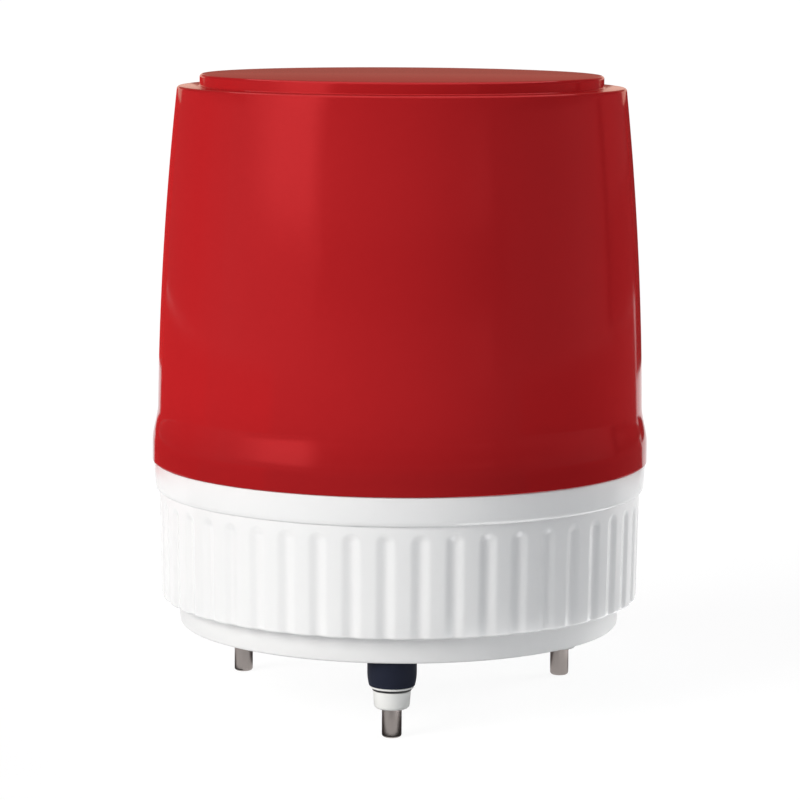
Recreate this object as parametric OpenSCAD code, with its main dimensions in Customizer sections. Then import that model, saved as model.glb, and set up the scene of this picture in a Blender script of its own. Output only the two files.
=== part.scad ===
// Strobe light with a twist-on globe on a fluted base, standing on three studs.
// Millimetres, +Z up, axis on Z, stud tips on z = 0, front stud towards -Y.

/* [Globe] */
// Diameter of the globe's foot
globe_d = 156.2; // [146:0.2:170]
// Height of the globe from its seat to the top of its disc
globe_h = 121; // [105:1:140]
// Wall thickness of the globe
globe_wall = 2.6; // [2:0.1:3.2]
// How far the wall leans in from the foot to the shoulder
globe_draft = 8; // [6:0.5:11]
// Bulge of the wall outside a straight cone
wall_bulge = 1.2; // [0.2:0.1:2]
// Height of the straight foot
foot_h = 6; // [5.5:0.5:9]
// Height of the flare above the foot
flare_h = 11.5; // [8:0.5:16]
// How far the flare steps in above the foot
flare_step = 1.75; // [1:0.25:3]
// Width of the ledge round the raised top disc
ledge_w = 7; // [4:0.5:10]
// Height of the raised top disc
disc_h = 3.7; // [2:0.1:6]
// Rounding of the globe's outer edges
globe_edge = 0.9; // [0.4:0.1:1.5]

/* [Bayonet] */
// Number of lugs on the globe
lug_count = 3; // [2:1:4]
// Angle that one lug spans
lug_angle = 24; // [16:1:28]
// Thickness of a lug
lug_h = 3.6; // [2.5:0.1:4]
// Reach of a lug inside the foot
lug_reach = 2.8; // [2:0.1:3.4]
// Width of the flat land under the globe's foot
land_w = 4.1; // [3.8:0.1:5]
// Height of a lug's underside above the seat
lug_lift = 1; // [0.6:0.1:1.6]
// Thickness of a hook on the housing's neck
hook_h = 3; // [2:0.1:4]
// Angle between a locked lug and its stop
stop_margin = 2; // [1:0.5:4]
// Angle that a stop rib spans
stop_angle = 3; // [2:0.5:5]
// Running clearance round the globe's lugs
run_gap = 0.4; // [0.3:0.05:0.6]

/* [Housing] */
// How far the rim's top lies inside the globe's foot
rim_inset = 0.4; // [0:0.1:1]
// Height of the rim
rim_h = 9; // [8:0.5:14]
// Inward lean of the rim from top to bottom
rim_draft = 0.7; // [0.2:0.1:1.2]
// Step from the rim in to the barrel
barrel_step = 1.1; // [0.6:0.1:2]
// Height of the barrel
barrel_h = 34.3; // [30:0.5:45]
// Inward lean of the barrel from top to bottom
barrel_draft = 0.6; // [0.2:0.1:1.2]
// Wall thickness of the housing
housing_wall = 3; // [2.6:0.1:4]
// Thickness of the shelf at the housing's top
shelf_t = 4; // [3.5:0.1:5]
// Reach of the shelf inside the neck
shelf_w = 8; // [7:0.5:10]
// Height of the neck above the globe's seat
neck_h = 8.8; // [8.6:0.1:12]
// Wall thickness of the neck
neck_wall = 2.5; // [2:0.1:3]
// Number of flutes round the barrel
flute_count = 46; // [36:1:54]
// Width of a flute
flute_w = 5.4; // [4:0.1:6]
// Depth of a flute
flute_depth = 0.7; // [0.4:0.1:1]
// Plain band between the rim and the tops of the flutes
flute_drop = 2; // [1:0.2:8]
// Angle of the first flute's middle, from the front stud
flute_turn = -1.2; // [-4:0.2:4]
// Width of the groove under the globe's foot
groove_w = 2.4; // [2:0.1:2.6]
// Depth of that groove and thickness of its gasket
gasket_t = 2; // [1.5:0.1:2.5]
// Rounding of the housing's outer edges
housing_edge = 0.5; // [0.2:0.1:0.6]

/* [Bottom cover] */
// Step from the barrel's bottom in to the cover
cover_step = 5.2; // [4:0.2:7]
// Height of the cover
cover_h = 8.4; // [7:0.2:12]
// Inward lean of the cover's side from top to bottom
cover_draft = 0.7; // [0.2:0.1:1.5]
// Thickness of the cover's floor
floor_t = 3; // [2:0.2:3.4]
// Width of the cover's side wall
cover_wall = 4; // [3.6:0.1:5]
// Rounding of the cover's bottom edge
cover_edge = 0.8; // [0.6:0.1:2]
// Width of the groove in the cover's top
seal_w = 2; // [1.5:0.1:2.2]
// Depth of that groove and thickness of its gasket
seal_t = 1.5; // [1:0.1:2]
// Diameter of the screw bosses
boss_d = 9; // [8:0.5:10]
// Height of the screw bosses in the housing
boss_h = 12; // [10:0.5:16]
// Thickness of the ribs behind those bosses
rib_t = 2; // [1.5:0.1:3]
// Shank diameter of the cover screws
cover_screw_d = 3.5; // [3:0.1:4]
// Head diameter of the cover screws
cover_head_d = 6.4; // [6:0.1:7]
// Head height of the cover screws
cover_head_h = 2.2; // [1.6:0.1:2.6]
// Length of the cover screws' shanks
cover_screw_l = 14; // [11:0.5:15]
// Bore of the cable grommet
grommet_bore_d = 7.5; // [5:0.5:9]
// Diameter of the grommet's neck in the floor
grommet_neck_d = 14; // [13:0.5:16]
// Diameter of the grommet's flanges
grommet_d = 20; // [18:0.5:24]
// Thickness of each grommet flange
grommet_t = 2.4; // [1.6:0.2:3]

/* [Feet] */
// Number of studs
stud_count = 3; // [3:1:3]
// Distance of the studs from the cover's edge
stud_inset = 10.1; // [9.8:0.1:12]
// Diameter of a stud
stud_d = 6; // [5:0.5:6.5]
// Length of a stud below its collar
stud_out = 8.9; // [5:0.1:20]
// Rounding of a stud's tip
stud_tip = 0.6; // [0.3:0.1:1]
// How far a stud's shank is turned down above its free end
stud_relief = 0.25; // [0.2:0.05:0.5]
// Width of a stud's hexagon head
head_af = 10; // [9:0.5:10]
// Height of a stud's hexagon head
head_h = 4; // [3:0.2:4.4]
// Diameter of a rubber bush
bush_d = 15; // [13:0.5:17]
// Height of a rubber bush below the floor
bush_h = 8.4; // [6:0.1:16]
// How far a bush draws in at its foot
bush_draw = 0.55; // [0.2:0.05:1]
// Diameter of a bush's neck in the floor
bush_neck_d = 9; // [8.5:0.1:10]
// Diameter of the pale washer under a bush
washer_d = 13.4; // [12.5:0.1:14]
// Thickness of that washer
washer_t = 0.7; // [0.4:0.1:1.5]
// Diameter of the dark ring under the washer
ring_d = 12; // [11:0.1:13]
// Thickness of that ring
ring_t = 0.8; // [0.4:0.1:1.5]
// Diameter of a collar nut at its top
collar_d = 11.6; // [10:0.1:12]
// Height of a collar nut
collar_h = 5.6; // [4:0.1:8]
// Inward lean of a collar nut from top to bottom
collar_draft = 0.5; // [0.2:0.1:0.8]
// Rounding of a collar nut's foot
collar_edge = 1.3; // [0.5:0.1:1.5]
// Clearance of round pieces in their holes
fit_gap = 0.15; // [0.1:0.01:0.2]

/* [Lamp] */
// Thickness of the lamp deck
deck_t = 1.2; // [0.8:0.1:2]
// Rise of the deck's middle
deck_rise = 8; // [6:0.5:10]
// Width of the deck's flat edge
deck_edge_w = 11; // [9:0.5:12]
// Width of the deck's slope
deck_slope_w = 9; // [6:0.5:12]
// Shank diameter of the deck screws
deck_screw_d = 3; // [2.5:0.1:3.2]
// Length of the deck screws' shanks
deck_screw_l = 8; // [6:0.5:9]
// Diameter of the socket's body
socket_d = 36; // [34:0.5:40]
// Height of the socket's body above its flange
socket_h = 12; // [11:0.5:16]
// Diameter of the socket's flange
socket_flange_d = 52; // [50:0.5:58]
// Thickness of the socket's flange
socket_flange_t = 3; // [2:0.2:4]
// Diameter of the socket's spigot under the deck
spigot_d = 26; // [23:0.5:28]
// Length of the spigot under the deck
spigot_l = 7; // [4:0.5:8]
// Shank diameter of the socket's screws
socket_screw_d = 2.6; // [2.4:0.1:2.8]
// Head diameter of the socket's screws
socket_head_d = 5; // [4.6:0.1:5.2]
// Outer diameter of the flash tube
tube_d = 8; // [7:0.2:9]
// Wall thickness of the flash tube
tube_wall = 0.9; // [0.7:0.1:1.2]
// Distance between the flash tube's legs
leg_gap = 22; // [18:0.5:22]
// Height of the flash tube above its socket
tube_h = 70; // [60:1:78]
// Depth of the flash tube's legs in the socket
leg_seat = 5; // [4:0.5:6]
// Thickness of the end cap of an electrode
cap_t = 2; // [1:0.1:3]
// Diameter of an electrode's pin
pin_d = 2.4; // [2:0.1:2.8]
// Length of an electrode's pin
pin_l = 2.5; // [1.5:0.1:3]
// Length of an electrode inside the tube
electrode_l = 12; // [8:0.5:16]
// Diameter of the trigger wire
trigger_d = 0.7; // [0.5:0.1:1]
// Turns of the trigger wire
trigger_turns = 5; // [3:1:6]
// Rise of each turn of the trigger wire
trigger_pitch = 8; // [6:0.5:9]
// Diameter of the lamp's leads
lead_d = 1.8; // [1.2:0.1:2.4]
// How far the leads bow outwards
lead_bow = 2.2; // [2:0.1:2.4]

/* [Circuit] */
// Thickness of the circuit board
board_t = 1.6; // [1:0.1:2.4]
// Room between the board's edge and the stud heads
board_gap = 2; // [1:0.5:4]
// Height of the board's posts
post_h = 9; // [6:0.5:11]
// Diameter of the board's posts
post_d = 7; // [6:0.5:8]
// Distance of the posts from the board's edge
post_inset = 8; // [6:0.5:9]
// Shank diameter of the board screws
board_screw_d = 2.5; // [2:0.1:3]
// Length of the board screws' shanks
board_screw_l = 7; // [5:0.5:7]
// Diameter of a storage capacitor
cap_d = 18; // [14:0.5:20]
// Height of a storage capacitor
cap_h = 26; // [18:1:28]
// Distance of the capacitors' middles from the board's edge
cap_inset = 20; // [19.5:0.5:21]
// Half the room between the two capacitors
cap_room = 5; // [4.5:0.5:6]
// Width of the transformer's core
core_w = 38; // [32:1:40]
// Height of the transformer's core
core_h = 27; // [22:1:28]
// Thickness of the transformer's core
core_t = 15; // [12:0.5:17]
// Width of the core's middle limb
limb_w = 11; // [8:0.5:13]
// Height of the core's windows
window_h = 17; // [13:0.5:17]
// Width of each window
window_w = 8.5; // [6:0.5:8.5]
// How far the coil stands out of the core
coil_out = 6.5; // [5:0.5:7]
// Distance of the transformer's middle from the board's edge
transformer_inset = 25; // [24.5:0.5:25.5]
// Diameter of the trigger coil
trigger_coil_d = 13; // [10:0.5:14]
// Height of the trigger coil
trigger_coil_h = 17; // [12:0.5:24]
// Distance of the trigger coil to the right of the board's middle
trigger_coil_x = 5; // [4:0.5:6]
// Distance of the trigger coil from the board's edge
trigger_coil_inset = 15; // [14.5:0.5:16]
// Length of the power resistor
resistor_l = 21; // [16:0.5:23]
// Width and height of the power resistor
resistor_w = 8; // [6:0.5:8.5]
// Distance of the resistor to the right of the board's middle
resistor_x = 6; // [5:0.5:7]
// Distance of the resistor from the board's edge
resistor_inset = 28; // [27.5:0.5:28.5]
// Width of the heat sink
sink_w = 24; // [20:1:26]
// Height of the heat sink
sink_h = 22; // [18:1:28]
// Depth of the heat sink
sink_depth = 9; // [7:0.5:10]
// Number of fins on the heat sink
fin_count = 6; // [4:1:7]
// Distance of the heat sink from the board's edge
sink_inset = 4.5; // [4:0.5:5]
// Side of the rectifier
rectifier_w = 12; // [9:0.5:13]
// Height of the rectifier
rectifier_h = 7; // [5:0.5:10]
// Distance of the rectifier to the right of the board's middle
rectifier_x = 17; // [16.5:0.5:17.5]
// Length of the fuse
fuse_l = 20; // [18:0.5:22]
// Diameter of the fuse's caps
fuse_d = 5.2; // [4.5:0.1:6]
// Distance of the fuse to the right of the board's middle
fuse_x = 5; // [4.5:0.5:5.5]
// Distance of the fuse behind the board's middle
fuse_y = 20; // [19.5:0.5:20.5]
// Height of the fuse above the board
fuse_lift = 3.4; // [3.2:0.1:3.6]
// Ways of the terminal block
way_count = 3; // [2:1:3]
// Pitch of the terminal block
way_pitch = 5.5; // [5:0.1:6]
// Depth of the terminal block
block_depth = 9; // [8:0.5:11]
// Height of the terminal block
block_h = 11; // [9:0.5:14]
// Distance of the terminal block to the left of the board's middle
block_x = 16; // [15.5:0.5:16.5]
// Distance of the terminal block from the board's edge
block_inset = 18; // [17.5:0.5:18.5]
// Diameter of the terminal block's screw wells
well_d = 3.6; // [3.4:0.1:3.8]
// Diameter of the terminal block's wire holes
wire_hole_d = 3; // [2.6:0.1:3.2]
// Thickness of small sheet and moulded walls
thin = 1.2; // [1:0.1:1.4]

/* [Hidden] */
$fn = 96;
// Steps of a rounded edge
edge_steps = 5;
// Steps of the globe's wall and of its flare
wall_steps = 14;
flare_steps = 8;
// Overlap of a cut past the face that it opens
past = 1;

// Heights, from the stud tips up
z_collar = stud_out;
z_ring = z_collar + collar_h;
z_washer = z_ring + ring_t;
z_bush = z_washer + washer_t;
z_base = z_bush + bush_h;
z_floor = z_base + floor_t;
z_barrel = z_base + cover_h;
z_rim = z_barrel + barrel_h;
z_seat = z_rim + rim_h;
z_neck = z_seat + neck_h;
z_shoulder = z_seat + globe_h - disc_h;
z_top = z_seat + globe_h;

// Radii of the globe and its bayonet
foot_r = globe_d / 2;
waist_r = foot_r - flare_step;
shoulder_r = foot_r - globe_draft;
disc_r = shoulder_r - ledge_w;
land_r = foot_r - land_w;
lug_r = land_r - lug_reach;
neck_r = lug_r - run_gap;
neck_in_r = neck_r - neck_wall;
hook_r = land_r - run_gap;
z_waist = z_seat + foot_h + flare_h;
z_lug = z_seat + lug_lift;
z_lug_top = z_lug + lug_h;
z_hook = z_lug_top + run_gap;
hook_angle = lug_angle + 2 * stop_margin;

// Radii of the housing and its cover
rim_r = foot_r - rim_inset;
rim_low_r = rim_r - rim_draft;
barrel_r = rim_low_r - barrel_step;
barrel_low_r = barrel_r - barrel_draft;
cover_r = barrel_low_r - cover_step;
cover_low_r = cover_r - cover_draft;
cover_in_r = cover_r - cover_wall;
shelf_in_r = neck_in_r - shelf_w;
z_shelf = z_seat - shelf_t;
groove_in_r = land_r + 2 * fit_gap;
groove_out_r = groove_in_r + groove_w;
seal_mid_r = cover_r - cover_wall / 2;
flange_t = housing_wall;
flange_in_r = cover_in_r - boss_d / 8;
cover_screw_r = cover_in_r - 0.45 * boss_d;
cover_screw_count = 3;
deck_screw_count = 3;
boss_turn = 90;
z_cover_head = z_base + cover_head_h + 2 * fit_gap;
z_cover_screw = z_cover_head + cover_screw_l;
flute_tilt = atan(barrel_draft / barrel_h);
flute_r = (flute_w * flute_w / 4 + flute_depth * flute_depth) / (2 * flute_depth);
flute_l = barrel_h - flute_drop - flute_w / 2;

// The studs and what sits on them
stud_r = cover_r - stud_inset;
stud_turn = -90;
shank_r = stud_d / 2 - stud_relief;
bore_d = stud_d + 2 * fit_gap;
head_corner_r = head_af / sqrt(3);

// The lamp, from the deck up
deck_r = neck_in_r - 2 * fit_gap;
deck_screw_r = neck_in_r - shelf_w / 2;
deck_boss_d = 2.4 * deck_screw_d;
deck_boss_l = deck_screw_l + 2;
z_deck = z_seat + deck_rise;
z_deck_top = z_deck + deck_t;
z_socket_top = z_deck_top + socket_flange_t + socket_h;
z_spigot = z_deck - spigot_l;
z_leg = z_socket_top - leg_seat;
z_arch = z_socket_top + tube_h - leg_gap / 2 - tube_d / 2;
tube_r = tube_d / 2;
tube_bore_r = tube_r - tube_wall;
socket_screw_r = (socket_flange_d + socket_d) / 4;
lead_r = 0.3 * spigot_d;

// The circuit board and the places of what stands on it
stud_room_r = stud_r - head_corner_r;
board_r = stud_room_r - board_gap;
z_board = z_floor + post_h;
z_parts = z_board + board_t;
post_r = board_r - post_inset;
post_count = 4;
post_turn = 45;
cap_place = [board_r - cap_inset, cap_d / 2 + cap_room];
transformer_x = transformer_inset - board_r;
trigger_coil_place = [trigger_coil_x, board_r - trigger_coil_inset];
resistor_place = [resistor_x, resistor_inset - board_r];
sink_y = sink_inset - board_r;
fuse_place = [fuse_x, fuse_y];
block_place = [-block_x, board_r - block_inset];

// Points on an arc of radius r round the centre c, between two angles
function arc(c, r, from, to, steps = edge_steps) =
  [for (i = [0:steps]) let (a = from + (to - from) * i / steps) c + r * [cos(a), sin(a)]];

// A list from its last item to its first
function backwards(list) = [for (i = [len(list) - 1:-1:0]) list[i]];

// Smooth step from 0 to 1
function ease(u) = u * u * (3 - 2 * u);

// Outer radius of the globe's drafted wall, and of the wall with its flare, at height z
function wall_r(z) = let (t = (z - z_waist) / (z_shoulder - z_waist))
  waist_r + (shoulder_r - waist_r) * t + 4 * wall_bulge * t * (1 - t);
function globe_r(z) = let (u = min(1, max(0, (z_waist - z) / flare_h)))
  wall_r(z) + (foot_r - wall_r(z)) * ease(u);

// Side of the globe from its foot up to z_end, moved in by a wall thickness
function globe_side(z_end, inset) = [
  for (z = [
    for (i = [0:flare_steps - 1]) z_seat + foot_h + flare_h * i / flare_steps,
    for (i = [0:wall_steps]) z_waist + (z_end - z_waist) * i / wall_steps
  ]) [globe_r(z) - inset, z]
];

// Copies of the children at equal angles on a circle
module spread(count, r, turn = 0) {
  for (i = [0:count - 1]) rotate([0, 0, turn + 360 * i / count]) translate([r, 0, 0]) children();
}

// Copies of the children on both legs of the flash tube
module on_legs() {
  for (side = [-1, 1]) translate([side * leg_gap / 2, 0, 0]) children();
}

// Flat ring standing on z
module ring(r_out, r_in, z, h) {
  translate([0, 0, z]) difference() {
    cylinder(r = r_out, h = h);
    translate([0, 0, -past]) cylinder(r = r_in, h = h + 2 * past);
  }
}

// Part of a ring that spans an angle, standing on z
module ring_part(r_out, r_in, z, h, from, span) {
  translate([0, 0, z]) rotate([0, 0, from])
    rotate_extrude(angle = span) translate([r_in, 0]) square([r_out - r_in, h]);
}

// Upright hole between two heights
module hole(d, z_low, z_high) {
  translate([0, 0, z_low]) cylinder(d = d, h = z_high - z_low);
}

// Pan-head screw with its head's seat on z = 0 and its shank down
module pan_screw(head_d, head_h, shank_d, shank_l) {
  round_r = 0.6 * head_h;
  point = 0.12 * shank_d;
  rotate_extrude() polygon(concat(
    [[0, -shank_l], [shank_d / 2 - point, -shank_l], [shank_d / 2, point - shank_l]],
    [[shank_d / 2, 0], [head_d / 2, 0]],
    arc([head_d / 2 - round_r, head_h - round_r], round_r, 0, 90),
    [[0, head_h]]));
}

// Solid through a row of like rings of points, closed at both ends
module sweep(rings) {
  n = len(rings);
  m = len(rings[0]);
  polyhedron(
    points = [for (points = rings) each points],
    faces = concat(
      [[for (k = [0:m - 1]) k], [for (k = [m - 1:-1:0]) (n - 1) * m + k]],
      [for (i = [0:n - 2], k = [0:m - 1]) let (j = (k + 1) % m)
        [i * m + k, (i + 1) * m + k, (i + 1) * m + j, i * m + j]]));
}

// Red globe: drafted wall, flared foot, raised disc on top and bayonet lugs inside
module globe() {
  z_in = z_shoulder - globe_wall;
  disc_in_r = disc_r - globe_wall;
  color("#b4191f") {
    rotate_extrude() polygon(concat(
      [[land_r, z_seat], [foot_r, z_seat]],
      globe_side(z_shoulder - globe_edge, 0),
      arc([shoulder_r - globe_edge, z_shoulder - globe_edge], globe_edge, 0, 90),
      [[disc_r, z_shoulder]],
      arc([disc_r - globe_edge, z_top - globe_edge], globe_edge, 0, 90),
      [[0, z_top], [0, z_top - globe_wall], [disc_in_r, z_top - globe_wall], [disc_in_r, z_in]],
      backwards(globe_side(z_in, globe_wall)),
      [[land_r, z_seat + foot_h - land_w + globe_wall]]));
    spread(lug_count, 0, stud_turn)
      ring_part(land_r + globe_wall / 2, lug_r, z_lug, lug_h, -lug_angle / 2, lug_angle);
  }
}

// Seal in the groove under the globe's foot
module globe_gasket() {
  color("#2b2b2d") ring(groove_out_r - fit_gap, groove_in_r + fit_gap, z_seat - gasket_t, gasket_t);
}

// Upright scoops with round tops that flute the barrel
module flutes() {
  spread(flute_count, barrel_low_r - flute_depth + flute_r, stud_turn + flute_turn)
    translate([0, 0, z_barrel]) rotate([0, flute_tilt, 0]) {
      hole(2 * flute_r, -past, flute_l);
      translate([0, 0, flute_l]) sphere(r = flute_r);
    }
}

// Hooks on the neck that hold the globe's lugs, each with its stop
module hooks() {
  in_r = neck_r - neck_wall / 2;
  stop_turn = -hook_angle / 2 - stop_angle;
  spread(lug_count, 0, stud_turn) {
    ring_part(hook_r, in_r, z_hook, hook_h, stop_turn, hook_angle + stop_angle);
    ring_part(hook_r - fit_gap, in_r, z_seat - past, z_hook + hook_h / 2 - z_seat + past, stop_turn, stop_angle);
  }
}

// White housing: rim, fluted barrel, neck with bayonet hooks, shelf, flange and screw bosses
module housing() {
  edge = housing_edge;
  z_flange = z_barrel + flange_t;
  wall_in_r = barrel_low_r - housing_wall;
  color("#f2f2ef") difference() {
    union() {
      rotate_extrude() polygon(concat(
        [[flange_in_r, z_barrel]],
        arc([barrel_low_r - edge, z_barrel + edge], edge, -90, 0),
        [[barrel_r, z_rim]],
        arc([rim_low_r - edge, z_rim + edge], edge, -90, 0),
        arc([rim_r - edge, z_seat - edge], edge, 0, 90),
        [[groove_out_r, z_seat], [groove_out_r, z_seat - gasket_t]],
        [[groove_in_r, z_seat - gasket_t], [groove_in_r, z_seat], [neck_r, z_seat]],
        arc([neck_r - edge, z_neck - edge], edge, 0, 90),
        [[neck_in_r, z_neck], [neck_in_r, z_seat], [shelf_in_r, z_seat], [shelf_in_r, z_shelf]],
        [[barrel_r - housing_wall, z_shelf], [wall_in_r, z_flange], [flange_in_r, z_flange]]));
      hooks();
      spread(cover_screw_count, cover_screw_r, boss_turn) {
        hole(boss_d, z_barrel + fit_gap, z_barrel + boss_h);
        translate([0, -rib_t / 2, z_barrel + flange_t / 2])
          cube([wall_in_r + housing_wall / 3 - cover_screw_r, rib_t, boss_h - flange_t / 2 - rib_t]);
      }
      spread(deck_screw_count, deck_screw_r, boss_turn)
        hole(deck_boss_d, z_seat - deck_boss_l, z_seat - past);
    }
    flutes();
    spread(cover_screw_count, cover_screw_r, boss_turn)
      hole(cover_screw_d + 2 * fit_gap, z_barrel - past, z_cover_screw + past);
    spread(deck_screw_count, deck_screw_r, boss_turn)
      hole(deck_screw_d + 2 * fit_gap, z_seat - deck_screw_l - past / 2, z_seat + past);
  }
}

// White bottom cover: floor, side wall with its seal groove, screw bosses and board posts
module bottom_cover() {
  color("#efefec") difference() {
    union() {
      rotate_extrude() polygon(concat(
        [[0, z_base]],
        arc([cover_low_r - cover_edge, z_base + cover_edge], cover_edge, -90, 0),
        [[cover_r, z_barrel], [seal_mid_r + seal_w / 2, z_barrel]],
        [[seal_mid_r + seal_w / 2, z_barrel - seal_t], [seal_mid_r - seal_w / 2, z_barrel - seal_t]],
        [[seal_mid_r - seal_w / 2, z_barrel], [cover_in_r, z_barrel], [cover_in_r, z_floor], [0, z_floor]]));
      spread(cover_screw_count, cover_screw_r, boss_turn) hole(boss_d, z_base + past, z_barrel);
      spread(post_count, post_r, post_turn) hole(post_d, z_base + past, z_board);
    }
    spread(stud_count, stud_r, stud_turn) hole(bush_neck_d + 2 * fit_gap, z_base - past, z_floor + past);
    hole(grommet_neck_d + 2 * fit_gap, z_base - past, z_floor + past);
    spread(cover_screw_count, cover_screw_r, boss_turn) {
      hole(cover_screw_d + 4 * fit_gap, z_base - past, z_barrel + past);
      hole(cover_head_d + 4 * fit_gap, z_base - past, z_cover_head);
    }
    spread(post_count, post_r, post_turn)
      hole(board_screw_d + 2 * fit_gap, z_parts - board_screw_l - past / 2, z_board + past);
  }
}

// Flat seal in the groove of the bottom cover
module bottom_gasket() {
  color("#2b2b2d")
    ring(seal_mid_r + seal_w / 2 - fit_gap, seal_mid_r - seal_w / 2 + fit_gap, z_barrel - seal_t, seal_t);
}

// Screws that hold the bottom cover, driven from below
module cover_screws() {
  color("silver") spread(cover_screw_count, cover_screw_r, boss_turn)
    translate([0, 0, z_cover_head]) rotate([180, 0, 0])
      pan_screw(cover_head_d, cover_head_h, cover_screw_d, cover_screw_l);
}

// Rubber grommet for the cable, snapped into the floor
module cable_grommet() {
  flange_r = grommet_d / 2;
  edge = grommet_t / 2;
  color("#26272b") rotate_extrude() polygon(concat(
    [[grommet_bore_d / 2, z_base - grommet_t]],
    arc([flange_r - edge, z_base - grommet_t + edge], edge, -90, 0),
    [[flange_r, z_base], [grommet_neck_d / 2, z_base], [grommet_neck_d / 2, z_floor], [flange_r, z_floor]],
    arc([flange_r - edge, z_floor + grommet_t - edge], edge, 0, 90),
    [[grommet_bore_d / 2, z_floor + grommet_t]]));
}

// Studs with hexagon heads inside the cover, flats facing outwards
module stud_bolts() {
  color("#918987") spread(stud_count, stud_r, stud_turn) {
    rotate_extrude() polygon(concat(
      [[0, 0]],
      arc([stud_d / 2 - stud_tip, stud_tip], stud_tip, -90, 0),
      [[stud_d / 2, z_collar], [shank_r, z_collar], [shank_r, z_floor + head_h / 2], [0, z_floor + head_h / 2]]));
    translate([0, 0, z_floor]) rotate([0, 0, 30]) cylinder(r = head_corner_r, h = head_h, $fn = 6);
  }
}

// Rubber bushes between the cover and the panel, drawn in towards their feet
module rubber_bushes() {
  foot_part = 0.5 * bush_h;
  color("#2a2c36") spread(stud_count, stud_r, stud_turn) rotate_extrude() polygon(concat(
    [[bore_d / 2, z_bush]],
    [for (i = [0:edge_steps]) let (t = i / edge_steps)
      [bush_d / 2 - bush_draw * (1 - t) * (1 - t), z_bush + foot_part * t]],
    [[bush_d / 2, z_base], [bush_neck_d / 2, z_base], [bush_neck_d / 2, z_floor], [bore_d / 2, z_floor]]));
}

// Pale washers under the bushes
module foot_washers() {
  color("#e6e4df") spread(stud_count, stud_r, stud_turn) ring(washer_d / 2, bore_d / 2, z_washer, washer_t);
}

// Dark sealing rings under the washers
module foot_seals() {
  color("#2b2b2d") spread(stud_count, stud_r, stud_turn) ring(ring_d / 2, bore_d / 2, z_ring, ring_t);
}

// White collar nuts on the studs, tapered, with a round foot
module collar_nuts() {
  top_r = collar_d / 2;
  foot_r = top_r - collar_draft;
  color("#dddddb") spread(stud_count, stud_r, stud_turn) rotate_extrude() polygon(concat(
    [[bore_d / 2, z_collar]],
    arc([foot_r - collar_edge, z_collar + collar_edge], collar_edge, -90, 0),
    [[top_r, z_ring], [bore_d / 2, z_ring]]));
}

// White reflector plate with a raised middle that closes the housing's top
module lamp_deck() {
  edge_r = deck_r - deck_edge_w;
  rise_r = edge_r - deck_slope_w;
  slant = deck_t * tan(atan(deck_rise / deck_slope_w) / 2);
  hole_r = spigot_d / 2 + fit_gap;
  color("#f4f4f0") difference() {
    rotate_extrude() polygon([
      [hole_r, z_deck], [rise_r, z_deck], [edge_r, z_seat], [deck_r, z_seat], [deck_r, z_seat + deck_t],
      [edge_r + slant, z_seat + deck_t], [rise_r + slant, z_deck_top], [hole_r, z_deck_top]
    ]);
    spread(deck_screw_count, deck_screw_r, boss_turn)
      hole(deck_screw_d + 2 * fit_gap, z_seat - past, z_seat + deck_t + past);
    spread(2, socket_screw_r, 90) hole(socket_screw_d + 2 * fit_gap, z_deck - past, z_deck_top + past);
  }
}

// Screws that hold the lamp deck
module deck_screws() {
  color("silver") spread(deck_screw_count, deck_screw_r, boss_turn)
    translate([0, 0, z_seat + deck_t])
      pan_screw(2 * deck_screw_d, 0.7 * deck_screw_d, deck_screw_d, deck_screw_l + deck_t);
}

// Ceramic socket with a bore for each leg of the flash tube
module lamp_socket() {
  edge = 1;
  z_flange = z_deck_top + socket_flange_t;
  color("#e9e6dd") difference() {
    rotate_extrude() polygon(concat(
      [[0, z_spigot], [spigot_d / 2, z_spigot], [spigot_d / 2, z_deck_top]],
      [[socket_flange_d / 2, z_deck_top], [socket_flange_d / 2, z_flange], [socket_d / 2, z_flange]],
      arc([socket_d / 2 - edge, z_socket_top - edge], edge, 0, 90),
      [[0, z_socket_top]]));
    on_legs() {
      hole(tube_d + 2 * fit_gap, z_leg - cap_t, z_socket_top + past);
      hole(pin_d + 2 * fit_gap, z_leg - cap_t - pin_l, z_leg);
    }
    spread(2, socket_screw_r, 90) hole(socket_screw_d + 2 * fit_gap, z_deck - past, z_flange + past);
  }
}

// Screws through the socket's flange into the deck
module socket_screws() {
  color("silver") spread(2, socket_screw_r, 90) translate([0, 0, z_deck_top + socket_flange_t])
    pan_screw(socket_head_d, 0.4 * socket_head_d, socket_screw_d, socket_flange_t + 3 * deck_t);
}

// U-shaped glass tube, open at its feet
module flash_tube() {
  color("#dfe8ee") {
    on_legs() ring(tube_r, tube_bore_r, z_leg, z_arch - z_leg);
    translate([0, 0, z_arch]) rotate([90, 0, 0]) rotate_extrude(angle = 180) translate([leg_gap / 2, 0])
      difference() {
        circle(r = tube_r);
        circle(r = tube_bore_r);
      }
  }
}

// Electrodes that plug the tube's feet: pin, cap, plug and rod
module tube_electrodes() {
  plug_r = tube_bore_r - fit_gap;
  plug_l = electrode_l / 4;
  color("#a9a9a6") on_legs() translate([0, 0, z_leg]) rotate_extrude() polygon([
    [0, -cap_t - pin_l], [pin_d / 2, -cap_t - pin_l], [pin_d / 2, -cap_t], [tube_r, -cap_t], [tube_r, 0],
    [plug_r, 0], [plug_r, plug_l], [plug_r / 2, plug_l], [plug_r / 2, electrode_l], [0, electrode_l]
  ]);
}

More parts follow.
